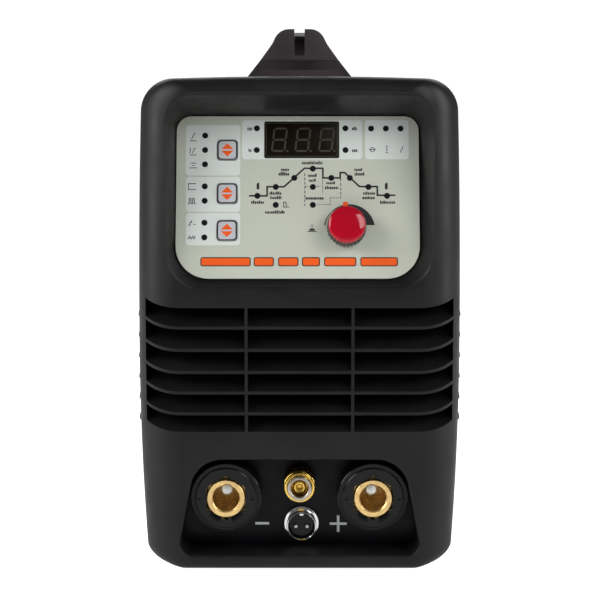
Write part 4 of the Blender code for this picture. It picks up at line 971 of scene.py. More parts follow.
LED_PLACES = (
    [(-47.05, s) for s in (72.3, 64.9, 57.6, 46.4, 39.1, 28.0, 20.6)]
    + [(x, s) for x in (-21.3, 22.9) for s in (76.0, 64.9)]
    + [(x, 75.9) for x in (35.7, 43.1, 50.4)]
    + [(-20.9, 41.6), (-11.8, 46.1), (-2.6, 50.7), (6.6, 55.4), (15.8, 50.7)]
    + [(25.0, 50.7), (34.2, 46.1), (43.4, 41.6), (6.6, 46.1), (6.6, 37.0), (-11.8, 37.0)]
)
FIELDS = ((-56.6, 51.9, -29.5, 77.7), (-56.4, 33.5, -29.4, 51.2), (-56.2, 16.7, -29.3, 32.9),
          (-28.7, 60.2, 31.2, 80.2), (32.7, 60.2, 54.4, 80.2))


def pad(bm, outline, low=PRINT_FOOT, high=PRINT):
    prism(bm, outline, low, high)


def bar(bm, left, low, right, top, height=PRINT):
    pad(bm, [(left, low), (right, low), (right, top), (left, top)], high=height)


def span_box(left, low, right, top, radius, inset=0.0):
    centre = ((left + right) / 2, (low + top) / 2)
    return rounded_box(centre, ((right - left) / 2 - inset, (top - low) / 2 - inset), radius)


def panel_openings(gap):
    """Tools for the openings over the display and the keys, wider than each by gap."""
    holes = bmesh.new()
    prism(holes, rounded_box(DISPLAY_CENTRE, [h + gap for h in DISPLAY_HALF], 0.8), -3, 2)
    for height in KEY_HEIGHTS.values():
        prism(holes, rounded_box((KEY_X, height), [h + gap for h in KEY_HALF], 2.0), -3, 2)
    return holes


def build_label():
    label = solid("panel_overlay", PANEL, prism, label_outline(), -LABEL_THICKNESS, 0)
    holes = panel_openings(GAP)
    post(holes, KNOB_CENTRE, -3, 2, SHAFT_HOLE)
    shape(label, mesh_object("label_holes", holes, PANEL))
    finish_piece(label, FILM, replaces=("control_label",))


def build_groups():
    """The paler fields behind each group of keys and lights."""
    bm = bmesh.new()
    for field in FIELDS:
        pad(bm, span_box(*field, 1.6), high=PRINT / 2)
    fields = mesh_object("group_fields", bm, PANEL)
    shape(fields, mesh_object("field_holes", panel_openings(GAP + 0.05), PANEL))
    finish_piece(fields, PALE)


LETTER_WIDTHS = (0.45, 0.85)
LETTER_SPACE = 0.22
LETTER_HEIGHTS = (0.72, 0.72, 0.72, 1.0)


def greeked(bm, draws, left, right, low, top):
    """A line of small print: blocks the size of letters, none of them a letter."""
    x = left
    while x < right - 0.35:
        wide = min(draws.uniform(*LETTER_WIDTHS), right - x)
        height = low + (top - low) * draws.choice(LETTER_HEIGHTS)
        bar(bm, x, low, x + wide, height)
        x += wide + LETTER_SPACE


def dashes(bm, start, end, dash, gap, width=0.4):
    start, end = Vector(start), Vector(end)
    along = (end - start).normalized()
    done = 0.0
    while done < (end - start).length:
        stop = min(done + dash, (end - start).length)
        pad(bm, ribbon([start + along * done, start + along * stop], width))
        done += dash + gap


CAPTIONS = (
    (1.2, 11.9, 57.6, 59.3), (-9.2, -5.0, 54.2, 55.8), (-10.4, -4.6, 51.9, 53.6), (27.2, 31.6, 54.2, 55.8),
    (27.4, 32.4, 51.9, 53.6), (-15.0, -8.7, 42.2, 43.8), (-14.6, -8.6, 39.9, 41.5), (-24.0, -17.6, 37.6, 39.2),
    (-17.0, -7.2, 32.6, 34.2), (4.3, 9.0, 51.2, 52.8), (4.6, 8.6, 48.8, 50.2), (3.0, 12.2, 39.7, 41.3),
    (13.3, 17.6, 47.5, 48.9), (12.6, 19.2, 45.0, 46.6), (31.6, 37.4, 42.2, 43.8), (31.2, 37.6, 39.9, 41.5),
    (39.9, 47.4, 37.6, 39.2), (-26.0, -23.8, 74.9, 77.0), (-25.4, -23.9, 64.0, 65.6), (26.2, 28.7, 75.1, 76.9),
    (26.2, 29.2, 63.9, 65.7),
)
LONG_DASH, SHORT_DASH, DOT_DASH = (1.3, 0.9), (0.9, 0.5), (0.45, 0.55)
DASHED = (
    ((2.65, 53.0), (2.65, 36.6), LONG_DASH), ((2.65, 46.4), (4.6, 46.4), SHORT_DASH),
    ((8.6, 46.4), (10.2, 46.4), SHORT_DASH), ((11.45, 50.0), (11.45, 42.8), DOT_DASH),
    ((20.45, 50.2), (20.45, 40.8), LONG_DASH), ((15.2, 40.6), (20.45, 40.6), DOT_DASH),
    ((15.2, 40.6), (15.2, 37.2), DOT_DASH), ((8.6, 37.2), (15.2, 37.2), DOT_DASH),
)
ICONS = (
    ((-54.6, 69.6), (-51.4, 69.6)), ((-53.9, 70.4), (-52.6, 73.2), (-51.8, 73.6)),
    ((-54.6, 62.4), (-51.4, 62.4)), ((-53.4, 63.2), (-52.4, 65.6), (-51.6, 66.0)),
    ((-54.5, 63.2), (-54.5, 66.2)),
    ((-54.8, 55.8), (-51.0, 55.8)), ((-54.2, 58.2), (-51.4, 58.2)), ((-53.4, 57.0), (-52.2, 57.0)),
    ((-55.4, 44.8), (-51.4, 44.8)), ((-55.4, 47.8), (-51.4, 47.8)), ((-55.2, 44.8), (-55.2, 47.8)),
    ((-55.4, 37.7), (-54.6, 37.7), (-54.6, 40.2), (-53.8, 40.2), (-53.8, 37.7), (-53.0, 37.7), (-53.0, 40.2),
     (-52.2, 40.2), (-52.2, 37.7), (-51.4, 37.7)),
    ((-55.2, 26.8), (-54.2, 26.8), (-54.2, 28.2), (-53.4, 28.2), (-53.4, 29.2)),
    ((-52.6, 27.2), (-51.4, 27.2)),
    ((-55.2, 19.6), (-54.4, 21.2), (-53.6, 19.8), (-52.8, 21.2), (-52.2, 19.8), (-51.6, 21.4)),
    ((42.9, 63.6), (44.1, 63.6)), ((43.5, 64.2), (43.5, 66.2)), ((42.9, 66.8), (44.1, 66.8)),
    ((50.4, 63.6), (50.6, 65.0), (51.2, 65.4), (51.4, 66.8)),
    ((34.6, 65.1), (38.0, 65.1)),
    ((-7.9, 38.6), (-7.9, 35.9), (-5.2, 35.9)), ((-7.9, 38.4), (-6.8, 38.4), (-6.4, 36.4)),
    ((3.9, 23.6), (8.6, 23.6)), ((6.2, 25.6), (6.2, 27.2)),
)
ICON_STROKE = 0.38
TRACE_STROKE = 0.85
TORCH = ((-0.7, 44.9), (0.6, 44.9), (0.6, 48.0), (0.2, 48.4), (-0.4, 47.9), (-0.7, 47.4))
TORCH_PLACES = (-20.6, 43.1)
PUSH_BUTTON = ((4.6, 24.0), (7.8, 24.0), (7.2, 25.1), (5.2, 25.1))
ELECTRODE_RING = ((36.3, 65.1), 1.25, 0.9)


def build_dark_print():
    bm = bmesh.new()
    draws = random.Random(7)
    for caption in CAPTIONS:
        greeked(bm, draws, *caption)
    for start, end, pattern in DASHED:
        dashes(bm, start, end, *pattern)
    for line in ICONS:
        pad(bm, ribbon(line, ICON_STROKE))
    pad(bm, ribbon(TRACE, TRACE_STROKE))
    for place in TORCH_PLACES:
        pad(bm, [(place + x, y) for x, y in TORCH])
    pad(bm, PUSH_BUTTON)
    ring(bm, *ELECTRODE_RING)
    piece("dark_print", bm, PANEL, DARK)


def frame_ring(bm, outer, inner, low, high):
    """A flat band between two outlines with equally many points."""
    loft(bm, [raised(outer, low), raised(outer, high), raised(inner, high), raised(inner, low)], closed=True)


def arc_points(centre, radius, angles):
    return [(centre[0] + radius * math.cos(a), centre[1] + radius * math.sin(a)) for a in angles]


def ring(bm, centre, outer, inner, low=PRINT_FOOT, high=PRINT, sides=28):
    angles = [TURN * k / sides for k in range(sides)]
    frame_ring(bm, *(arc_points(centre, radius, angles) for radius in (outer, inner)), low, high)


CRESCENT_FLOOR = 26.8
CRESCENT_OUTER = ((24.65, 24.7), 12.65)
CRESCENT_INNER = ((23.0, 25.9), 10.2)
SCALE_DOT = ((22.75, 37.3), 1.38)


def crescent(steps=28):
    """The widening arc round the knob: between two circles, cut level at both ends."""
    points = []
    for (centre, radius), direction in ((CRESCENT_OUTER, 1), (CRESCENT_INNER, -1)):
        start = math.asin((CRESCENT_FLOOR - centre[1]) / radius)
        sweep = [start + (math.pi - 2 * start) * k / steps for k in range(steps + 1)]
        points += arc_points(centre, radius, sweep[::direction])
    return points


def build_knob_scale():
    piece("knob_scale", sketch(pad, crescent()), PANEL, DARK)
    place, radius = SCALE_DOT
    dot = sketch(post, place, PRINT_FOOT, PRINT + 0.05, radius)
    piece("knob_scale_mark", dot, PANEL, ORANGE)


STRIPE_PARTS = ((-48.9, -24.1), (-22.6, -12.6), (-10.6, -0.5), (1.2, 10.1), (12.1, 28.0), (30.0, 48.5))
STRIPE_LOW, STRIPE_TOP = 6.1, 10.7
STRIPE_BORDER = 0.5


def build_stripe():
    """A plain broken stripe in place of the maker's wording."""
    outline, fill = bmesh.new(), bmesh.new()
    for left, right in STRIPE_PARTS:
        part = (left, STRIPE_LOW, right, STRIPE_TOP)
        pad(outline, span_box(*part, 1.1), high=0.05)
        pad(fill, span_box(*part, 0.7, STRIPE_BORDER), low=0.0, high=0.1)
    piece("stripe_outline", outline, PANEL, DARK)
    piece("stripe", fill, PANEL, ORANGE)


def build_lights_on_label():
    bm = bmesh.new()
    for place in LED_PLACES:
        lathe(bm, LENS_PROFILE, sides=24, centre=place)
    piece("indicator_lenses", bm, PANEL, LENS, angle=50)


DIGIT_LEFTS = (-13.6, -1.9, 9.9)
DIGIT_HEIGHT = 12.4
DIGIT_WIDTH = 7.2
DIGIT_STROKE = 0.95
DIGIT_GAP = 0.28
DIGIT_SLANT = math.tan(math.radians(7))
DIGIT_LAYER = (-0.14, -0.05)
POINT_PLACE = (DIGIT_WIDTH + 1.0, 0.5)
POINT_HALF = 0.5


def digit_strokes():
    """The seven strokes of an upright digit, drawn from its lower left corner."""
    half, middle = DIGIT_STROKE / 2, DIGIT_HEIGHT / 2
    left, right = DIGIT_STROKE + DIGIT_GAP, DIGIT_WIDTH - DIGIT_STROKE - DIGIT_GAP
    strokes = []
    for y in (half, middle, DIGIT_HEIGHT - half):
        strokes.append([(left, y - half), (right, y - half), (right + half, y), (right, y + half),
                        (left, y + half), (left - half, y)])
    for x in (0.0, DIGIT_WIDTH - DIGIT_STROKE):
        for low, top in ((half, middle), (middle, DIGIT_HEIGHT - half)):
            low, top = low + DIGIT_GAP, top - DIGIT_GAP
            strokes.append([(x, low + half), (x + half, low), (x + DIGIT_STROKE, low + half),
                            (x + DIGIT_STROKE, top - half), (x + half, top), (x, top - half)])
    return strokes


def on_display(x, y, left):
    """A point of an upright digit, slanted and moved to its place on the display."""
    return left + x + (y - DIGIT_HEIGHT / 2) * DIGIT_SLANT, DISPLAY_CENTRE[1] - DIGIT_HEIGHT / 2 + y


def build_display():
    pane = sketch(prism, rounded_box(DISPLAY_CENTRE, DISPLAY_HALF, 0.6), -1.6, PRINT_FOOT)
    piece("display_pane", pane, PANEL, TINT, replaces=("display_window",), soft=0.12)
    digits = bmesh.new()
    for left in DIGIT_LEFTS:
        for stroke in digit_strokes():
            pad(digits, [on_display(x, y, left) for x, y in stroke], *DIGIT_LAYER)
        x, y = on_display(*POINT_PLACE, left)
        pad(digits, [(x + a * POINT_HALF, y + b * POINT_HALF) for a, b in SQUARE], *DIGIT_LAYER)
    piece("display_segments", digits, PANEL, SEGMENT)
    outer, inner = (rounded_box(DISPLAY_CENTRE, [h - d for h in DISPLAY_HALF], 0.5) for d in (0.5, 0.85))
    piece("display_border", sketch(frame_ring, outer, inner, -0.14, -0.06), PANEL, SEGMENT)


KEY_FLANGE_SPAN = (-2.5, -1.89)
KEY_LINE = (((4.87, 5.02), 1.88), ((4.3, 4.45), 1.5))
KEY_PRINT_FOOT = 0.6


def key_arrows():
    bm = bmesh.new()
    half, base, tip = KEY_ARROW
    for side in (-1, 1):
        triangle = [(-half, side * base), (half, side * base), (0, side * tip)]
        prism(bm, triangle[::side], KEY_PRINT_FOOT, 0.76)
    return bm


def build_keys():
    half_x, half_y = (half + KEY_FLANGE for half in KEY_HALF)
    low, high = KEY_FLANGE_SPAN
    for name, height in KEY_HEIGHTS.items():
        matrix, body = at(PANEL, KEY_X, height), f"{name}_key"
        bm = sketch(prism, rounded_box((0, 0), KEY_HALF, KEY_CORNER), *KEY_SPAN)
        box(bm, (-half_x, -half_y, low), (half_x, half_y, high))
        piece(f"key_face_{name}", bm, matrix, KEY, body,
              replaces=(f"select_key_{name}",), soft=0.08)
        line = sketch(frame_ring, *(rounded_box((0, 0), half, radius) for half, radius in KEY_LINE),
                      KEY_PRINT_FOOT, 0.74)
        piece(f"key_line_{name}", line, matrix, DARK, body)
        piece(f"key_arrows_{name}", key_arrows(), matrix, ORANGE, body)


KNOB_RIBS = 30
SKIRT_RINGS = ((9.3, 0.3, 1.0), (9.7, 0.8, 1.5), (9.7, 0.8, 7.7), (9.2, 0.4, 8.5))
CAP_PROFILE = ((0, 9.9), (2.6, 9.9), (2.6, 8.7), (8.7, 8.7), (9.15, 9.0), (9.15, 10.6), (9.0, 11.1),
               (8.6, 11.45), (7.9, 11.7), (5.6, 12.2), (2.8, 12.5), (0, 12.55))


def knurled(radius, depth, count):
    """Outline with count flat-topped ribs."""
    points = []
    for k in range(count):
        for share, r in ((-0.30, radius), (0.22, radius), (0.32, radius - depth), (0.60, radius - depth)):
            points += arc_points((0, 0), r, [TURN * (k + share) / count])
    return points


def build_knob():
    matrix = at(PANEL, *KNOB_CENTRE)
    rings = [raised(knurled(radius, depth, KNOB_RIBS), h) for radius, depth, h in SKIRT_RINGS]
    skirt = solid("knob_skirt_ribbed", matrix, loft, rings)
    bore = sketch(post, (0, 0), 0, 4.6, 8.2)
    post(bore, (0, 0), 0, 10, 2.6)
    shape(skirt, mesh_object("knob_bore", bore, matrix))
    finish_piece(skirt, SKIRT, "knob", ("knob_skirt",))
    cap = sketch(lathe, CAP_PROFILE, sides=96)
    piece("knob_cap_glossy", cap, matrix, RED, "knob", ("knob_cap",), angle=50)


# Connector recess: profiles are (radius, height) with the front face at 0

SOCKET_X = 36.8
SOCKET_HEIGHT = 40.7
GAS_HEIGHT = 46.35
TRIGGER_PLACE = (1.0, 23.6)
SOCKETS = (("negative", -SOCKET_X, 0.6), ("positive", SOCKET_X, -1.0))
PLATE_FACE = -PLATE_DEPTH
MINUS_BAR = ((-19.1, 23.1), (7.0, 1.3), 0.0)
PLUS_BARS = (((19.8, 22.9), (8.7, 1.3), 0.0), ((19.8, 22.9), (1.3, 8.7), 0.02))
COLLAR_PROFILE = ((17.3, -4.2), (17.75, -4.6), (17.85, -5.2), (17.85, PLATE_FACE + GAP),
                  (14.0, PLATE_FACE + GAP), (14.0, -26.6), (9.8, -26.6), (9.8, -4.0), (10.2, -3.8),
                  (14.9, -3.8), (15.3, -4.1), (15.5, -4.9), (16.4, -4.9), (16.6, -4.3))
COLLAR_HEX, COLLAR_HEX_SPAN = 19.6, (-28, -2)
SPANNER_HOLE_X, SPANNER_HOLE_RADIUS = 13.4, 0.95
BRASS_HEX, BRASS_HEX_SPAN = 19.0, (-27.0, -3.0)
BRASS_TURNING = ((0, -3.0), (9.2, -3.0), (9.45, -3.3), (9.5, -9.0), (12.0, -9.4), (12.0, -30), (0, -30))
BRASS_BORE = ((0, 0), (7.1, 0), (7.1, -3.0), (6.5, -3.7), (6.5, -33), (0, -33))
STUD_RADIUS, STUD_SPAN = 8.0, (-46.0, -26.0)
PIN_RISE = 4.5
PIN_SEAT_RADIUS, PIN_SEAT_SPAN = 3.2, (-25.0, 0.0)
PIN_PROFILE = ((0, -24.7), (3.05, -24.7), (3.05, -5.6), (2.7, -4.8), (1.8, -4.25), (0, -4.2))


def build_marks():
    bm = bmesh.new()
    high = PLATE_FACE + PRINT
    for (x, y), (wide, tall), rise in (MINUS_BAR, *PLUS_BARS):
        outline = [(x + a * wide / 2, y + b * tall / 2) for a, b in SQUARE]
        prism(bm, outline, high - 0.2, high + rise)
    piece("polarity_marks", bm, FRONT, MARK)


def build_socket_collar(name, matrix):
    insulator = solid(f"{name}_collar", matrix, lathe, COLLAR_PROFILE, sides=96, ring=True)
    tools = sketch(prism, hexagon(COLLAR_HEX), *COLLAR_HEX_SPAN)
    for side in (-1, 1):
        post(tools, (side * SPANNER_HOLE_X, 0), -4.8, -2, SPANNER_HOLE_RADIUS, sides=20)
    shape(insulator, mesh_object("collar_tools", tools, matrix))
    finish_piece(insulator, COLLAR, replaces=(f"{name}_socket_insulator",))


def build_socket_brass(name, matrix, shift):
    body = solid(f"{name}_brass", matrix, prism, hexagon(BRASS_HEX), *BRASS_HEX_SPAN)
    shape(body, solid("turning", matrix, lathe, BRASS_TURNING, sides=72), operation="INTERSECT")
    shape(body, solid("stud", matrix, post, (0, 0), *STUD_SPAN, STUD_RADIUS), operation="UNION")
    shape(body, solid("bore", matrix, lathe, BRASS_BORE, sides=64),
          solid("pin_seat", matrix, post, (shift, PIN_RISE), *PIN_SEAT_SPAN, PIN_SEAT_RADIUS))
    finish_piece(body, BRASS, replaces=(f"{name}_socket_body",))


def build_socket(name, x, shift):
    """A weld-cable socket: stepped glossy collar, hexagonal brass body, and a lock pin in its bore's top."""
    matrix = at(FRONT, x, SOCKET_HEIGHT)
    build_socket_collar(name, matrix)
    build_socket_brass(name, matrix, shift)
    pin = sketch(lathe, PIN_PROFILE, sides=40)
    piece(f"{name}_pin", pin, at(matrix, shift, PIN_RISE), PIN, replaces=(f"{name}_lock_pin",))


GAS_COLLAR = ((5.5, 0), (5.95, -0.2), (6.15, -0.7), (6.15, -2.9), (5.8, -3.2), (5.8, -4.2), (4.35, -4.2),
              (4.35, -0.5), (4.75, 0))
GAS_STEM = ((6.0, -4.3), (6.15, -4.5), (6.15, -21.9), (5.0, -21.9), (5.0, -40), (3.4, -40.5), (3.4, -54),
            (1.5, -54), (1.5, -14.5), (4.35, -14.5), (4.35, -4.3))
GAS_SLEEVE = ((7.0, -3.0), (7.4, -3.2), (7.6, -3.7), (7.6, -5.0), (7.3, -5.3), (7.3, -5.8), (7.9, -6.2),
              (8.1, -6.7), (8.1, -7.5), (7.9, -8.0), (7.45, -8.4), (7.45, -17.2), (7.8, -17.6), (7.8, -18.3),
              (7.5, -18.6), (6.45, -18.6), (6.45, -3.0))
GAS_VALVE = ((0, -6.4), (1.3, -6.4), (1.3, -3.9), (1.9, -3.3), (2.6, -3.2), (3.2, -3.9), (3.25, -4.6),
             (3.25, -11.9), (0, -11.9))


def build_gas_outlet():
    matrix = at(FRONT, 0, GAS_HEIGHT)

    def turned(name, profile, sides, material, body="machine", replaces=(), ring=True):
        bm = sketch(lathe, profile, sides=sides, ring=ring)
        piece(name, bm, matrix, material, body, replaces)

    turned("gas_outlet_collar", GAS_COLLAR, 64, NICKEL)
    turned("gas_outlet_stem", GAS_STEM, 56, GILT, replaces=("gas_outlet_body",))
    turned("gas_sleeve_turned", GAS_SLEEVE, 64, GILT, "gas_sleeve", ("gas_outlet_sleeve",))
    turned("gas_valve_turned", GAS_VALVE, 48, GILT, "gas_valve", ("gas_outlet_valve",), ring=False)


TRIGGER_SHELL = ((7.0, -14.0), (7.4, -14.15), (7.6, -14.6), (7.6, -15.4), (7.35, -15.7), (7.35, -16.3),
                 (7.6, -16.6), (7.6, -20.0), (8.7, -20.2), (8.9, -20.5), (8.9, -22.0), (7.6, -22.0),
                 (7.6, -33.0), (6.6, -33.0), (6.6, -14.4))
TRIGGER_INSERT = ((0, -18.0), (6.0, -18.0), (6.3, -18.3), (6.3, -31.0), (0, -31.0))
TRIGGER_KEY = ((-1.0, 5.4, -21), (1.0, 6.75, -14.6))
TRIGGER_KEYWAY = ((-1.3, 4.9, -24), (1.3, 7, -17))
TRIGGER_PINS = {"left": (-2.85, -0.4), "right": (2.85, -0.4)}
TRIGGER_PIN = ((0, -35), (1.0, -35), (1.0, -15.9), (0.75, -15.35), (0, -15.2))
TRIGGER_PIN_HOLE, TRIGGER_PIN_HOLE_SPAN = 1.3, (-36, -15)


def build_trigger_connector():
    matrix = at(FRONT, *TRIGGER_PLACE)
    shell = sketch(lathe, TRIGGER_SHELL, sides=72, ring=True)
    piece("trigger_shell", shell, matrix, CHROME, replaces=("trigger_connector_shell",))
    block = solid("trigger_insert", matrix, lathe, TRIGGER_INSERT, sides=56)
    holes = bmesh.new()
    for centre in TRIGGER_PINS.values():
        post(holes, centre, *TRIGGER_PIN_HOLE_SPAN, TRIGGER_PIN_HOLE)
    box(holes, *TRIGGER_KEYWAY)
    shape(block, mesh_object("insert_holes", holes, matrix))
    finish_piece(block, COLLAR, replaces=("trigger_connector_insert",))
    piece("trigger_key", sketch(box, *TRIGGER_KEY), matrix, CHROME, soft=0.2)
    for name, centre in TRIGGER_PINS.items():
        piece(f"trigger_pin_{name}_round", sketch(lathe, TRIGGER_PIN, sides=28), at(matrix, *centre), STEEL,
              replaces=(f"trigger_pin_{name}",))


# Fan, switch, gland and gas inlet on the back panel

FAN_MIDDLE = -14.1
FAN_BLADES = 7
HUB_PROFILE = ((0, -9.6), (16.6, -9.6), (17.4, -8.8), (17.5, 8.6), (16.4, 9.6), (0, 9.9))
BLADE_ROOT, BLADE_LENGTH = 16.5, 24.0
ROOT_PITCH, PITCH_LOSS = 52, 22
ROOT_CHORD, CHORD_GAIN = 15.0, 9.0
CHORD_SHARE = 0.86
BLADE_SWEEP = 0.22
BLADE_HALF_THICKNESS = 0.375
BLADE_CAMBER = 6.4
BLADE_PARTS = (0.5, 0.2, -0.2, -0.5)
GUARD_RADII = (14.0, 21.0, 28.0, 35.0, 42.0)
WIRE_RADIUS, WIRE_HEIGHT = 0.95, 1.6
ARM_START, ARM_END, ARM_HEIGHT = 13, 3.5, 1.1
EYE_RADIUS, EYE_HEIGHT, EYE_SHARE = 3.6, 1.3, 0.9


def blade_section(share, start):
    """A blade's closed section at a share of its length: both faces, from edge to edge."""
    pitch = math.radians(ROOT_PITCH - PITCH_LOSS * share)
    chord = (ROOT_CHORD + CHORD_GAIN * share) * CHORD_SHARE
    sweep = start + BLADE_SWEEP * share
    outward = Vector((math.cos(sweep), math.sin(sweep), 0))
    across = Vector((-math.sin(sweep), math.cos(sweep), 0))
    along = across * math.cos(pitch) + Vector((0, 0, 1)) * math.sin(pitch)
    normal = outward.cross(along)
    centre = outward * (BLADE_ROOT + BLADE_LENGTH * share)
    points = []
    for side in (1, -1):
        for part in BLADE_PARTS[::-side]:
            height = BLADE_CAMBER * (0.25 - part ** 2) + side * BLADE_HALF_THICKNESS
            points.append(centre + along * chord * part + normal * height)
    return points


def build_fan_rotor(sections=8):
    """Hub and swept, twisted blades."""
    bm = sketch(lathe, HUB_PROFILE, sides=56)
    for k in range(FAN_BLADES):
        start = TURN * k / FAN_BLADES
        loft(bm, [blade_section(step / (sections - 1), start) for step in range(sections)])
    piece("fan_rotor_bladed", bm, at(REAR, *FAN_CENTRE, FAN_MIDDLE), INNER, "fan_rotor",
          ("fan_rotor",), angle=40)


def build_fan_guard():
    matrix = at(REAR, *FAN_CENTRE)
    wire = arc_points((0, 0), WIRE_RADIUS, [TURN * k / 12 for k in range(12)])
    bm = bmesh.new()
    for radius in GUARD_RADII:
        lathe(bm, [(radius + r, WIRE_HEIGHT + h) for r, h in wire], sides=72, ring=True)
    piece("fan_guard_rings", bm, matrix, STEEL, replaces=("fan_guard",))
    arms = bmesh.new()
    reach = FAN_SCREW * math.sqrt(2)
    eye = [(EYE_RADIUS + r * EYE_SHARE, EYE_HEIGHT + h) for r, h in wire]
    for k in range(4):
        angle = RIGHT_ANGLE * (k + 0.5)
        out = Vector((math.cos(angle), math.sin(angle), 0))
        lift = Vector((0, 0, ARM_HEIGHT))
        rod(arms, out * ARM_START + lift, out * (reach - ARM_END) + lift, WIRE_RADIUS, sides=16)
        lathe(arms, eye, sides=32, ring=True, centre=tuple((out * reach)[:2]))
    piece("fan_guard_arms", arms, matrix, STEEL)


SWITCH_BODY = ((-13.5, -10.5, -22), (13.5, 10.5, 1))
SWITCH_WELL = ((-12.0, -9.0, -8), (12.0, 9.0, 4))
SWITCH_FLANGE = (15.3, 12.3)
FLANGE_STEPS = ((0.3, 0), (1.4, 0), (2.0, 0.6))
ROCKER_HALF_WIDTH = 11.5
ROCKER_PIVOT = -3.0
ROCKER_TILT = math.radians(9)
ROCKER_LEVEL = ((-8.2, 0.6, 0.5), (-7.8, -3.0, 0.8), (-3.0, -5.0, 1.0), (3.0, -5.0, 1.0), (7.8, -3.0, 0.8),
                (8.2, 0.6, 0.5), (0, -0.9, 14.0))
ROCKER_FACE = ((2.5, -0.44), (7.0, 0.38))
MARK_HEIGHT = 0.12


def tilted(outline):
    """A rocker outline turned about its pivot, with its upper end standing out."""
    points = []
    for along, out in outline:
        reach = out - ROCKER_PIVOT
        points.append((along * math.cos(ROCKER_TILT) - reach * math.sin(ROCKER_TILT),
                       ROCKER_PIVOT + reach * math.cos(ROCKER_TILT) + along * math.sin(ROCKER_TILT)))
    return points


def build_rocker_marks(matrix):
    """A bar on the rocker's pressed half and a ring on its raised half, printed on the two faces."""
    across = Vector((1, 0, 0))
    marks = {"on": (-1, sketch(bar, -0.35, -1.5, 0.35, 1.5, MARK_HEIGHT)),
             "off": (1, sketch(ring, (0, 0), 1.5, 0.9, high=MARK_HEIGHT))}
    for name, (side, bm) in marks.items():
        inner, outer = (Vector((0, *point)) for point in tilted([(side * y, z) for y, z in ROCKER_FACE]))
        along = (outer - inner).normalized() * side
        face = Matrix((across, along, across.cross(along))).transposed().to_4x4()
        place = matrix @ Matrix.Translation((inner + outer) / 2 * MM) @ face
        piece(f"rocker_mark_{name}", bm, place, MARK, "switch_rocker")


def build_switch():
    matrix = at(REAR, *SWITCH_CENTRE)
    body = solid("switch_frame", matrix, box, *SWITCH_BODY)
    steps = [raised(rounded_box((0, 0), [half - inset for half in SWITCH_FLANGE], 1.6), h)
             for h, inset in FLANGE_STEPS]
    shape(body, solid("flange", matrix, loft, steps), operation="UNION")
    shape(body, solid("well", matrix, box, *SWITCH_WELL))
    finish_piece(body, INNER, replaces=("mains_switch_body",))
    rocker = sketch(prism, tilted(rounded(ROCKER_LEVEL, 6)), -ROCKER_HALF_WIDTH, ROCKER_HALF_WIDTH)
    upright = Matrix(((0, 0, 1, 0), (1, 0, 0, 0), (0, 1, 0, 0), (0, 0, 0, 1)))
    bmesh.ops.transform(rocker, matrix=upright, verts=rocker.verts)
    piece("switch_rocker_key", rocker, matrix, COLLAR, "switch_rocker",
          replaces=("mains_switch_rocker",), soft=0.25)
    build_rocker_marks(matrix)


GLAND_HEX, GLAND_HEX_SPAN = 24.0, (0.3, 6.0)
GLAND_NECKS = ((-14.0, 1.0, 10.0), (5.0, 8.5, 9.5))
GLAND_DOME = ((11.1, 7.5), (11.1, 13.6), (10.4, 15.6), (9.2, 17.4), (8.0, 18.8))
GLAND_RIBS, GLAND_RIB_DEPTH = 24, 0.5
GLAND_BORE = ((0, 20), (6.6, 20), (5.5, 17.6), (5.5, -15), (0, -15))


def build_gland():
    matrix = at(REAR, *GLAND_CENTRE)
    gland = solid("gland_body", matrix, prism, hexagon(GLAND_HEX), *GLAND_HEX_SPAN)
    necks = bmesh.new()
    for low, high, radius in GLAND_NECKS:
        post(necks, (0, 0), low, high, radius)
    rings = [raised(knurled(radius, GLAND_RIB_DEPTH, GLAND_RIBS), h) for radius, h in GLAND_DOME]
    shape(gland, mesh_object("necks", necks, matrix), solid("dome", matrix, loft, rings), operation="UNION")
    shape(gland, solid("bore", matrix, lathe, GLAND_BORE, sides=48))
    finish_piece(gland, INNER, replaces=("cable_gland",))


INLET_TIP = ((1.7, 0), (2.9, 0), (3.2, -0.3))
INLET_BARB = ((4.2, -3), (4.1, -3.3), (3.4, -3.5))
INLET_BARBS, BARB_PITCH = 3, 4
INLET_STEM = ((3.4, 9.2), (3.9, 8.9), (3.9, 0.3), (5.0, 0.3), (5.0, -16.0), (3.4, -16.4), (3.4, -30.0),
              (1.7, -30.0))
NUT_HEX, NUT_SPAN, NUT_HOLE = 13.5, (0.35, 5.3), 4.0
NUT_CHAMFER = ((0, 0), (7.9, 0), (7.9, 4.6), (6.8, 5.6), (0, 5.6))


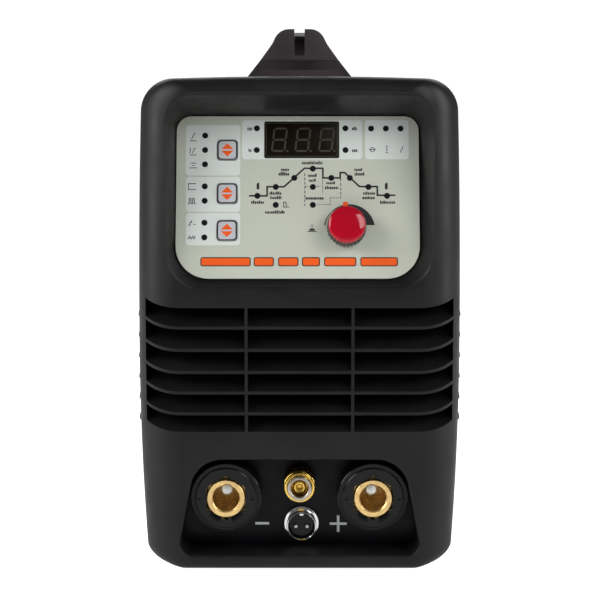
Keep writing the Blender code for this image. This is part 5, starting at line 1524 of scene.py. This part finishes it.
def build_gas_inlet():
    matrix = at(REAR, *INLET_CENTRE)
    reach = millimetres("gas_inlet_barb")[1].y - BACK_Y
    outer = [*INLET_TIP, *((r, h - BARB_PITCH * k) for k in range(INLET_BARBS) for r, h in INLET_BARB)]
    tail = sketch(lathe, [*((r, reach + h) for r, h in outer), *INLET_STEM], sides=48, ring=True)
    piece("gas_inlet_hose_tail", tail, matrix, BRASS, replaces=("gas_inlet_barb",))
    nut = solid("gas_inlet_hexagon", matrix, prism, hexagon(NUT_HEX), *NUT_SPAN)
    shape(nut, solid("nut_chamfer", matrix, lathe, NUT_CHAMFER, sides=48), operation="INTERSECT")
    shape(nut, solid("nut_hole", matrix, post, (0, 0), -1, 9, NUT_HOLE))
    finish_piece(nut, BRASS)


# CAD nodes that keep their shape take a material by name

KEPT = {
    "base_tray": ZINC, "connector_plate": PLATE, "control_board": BOARD, "power_board": BOARD,
    "display_module": INNER, "indicator_light_guide": INNER, "encoder_body": INNER,
    "encoder_plunger": STEEL, "encoder_shaft": STEEL, "encoder_nut": STEEL,
    "negative_socket_nut": BRASS, "positive_socket_nut": BRASS, "gas_outlet_nut": GILT,
    "trigger_connector_nut": CHROME, "negative_busbar": COPPER, "positive_busbar": COPPER,
    "fan_frame": INNER, "cable_gland_nut": INNER, "gas_solenoid_valve": BRASS,
    "gas_hose_front": HOSE, "gas_hose_rear": HOSE, "heatsink": ALUMINIUM,
    "transformer_core": FERRITE, "transformer_winding": COPPER, "output_choke": COPPER,
}


def finish_kept_nodes():
    for node, material in KEPT.items():
        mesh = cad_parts[node].data
        mesh.materials.clear()
        mesh.materials.append(material)


def build_machine():
    for build in (build_bezel, build_rear_moulding, build_casing, build_screws, build_feet, build_handle,
                  build_label, build_groups, build_dark_print, build_knob_scale, build_stripe,
                  build_lights_on_label, build_display, build_keys, build_knob, build_marks):
        build()
    for socket in SOCKETS:
        build_socket(*socket)
    for build in (build_gas_outlet, build_trigger_connector, build_fan_rotor, build_fan_guard, build_switch,
                  build_gland, build_gas_inlet, finish_kept_nodes):
        build()


for build_part in (build_camera, build_world, build_lights, build_floor, build_machine):
    build_part()
bpy.context.scene.view_settings.view_transform = "Standard"
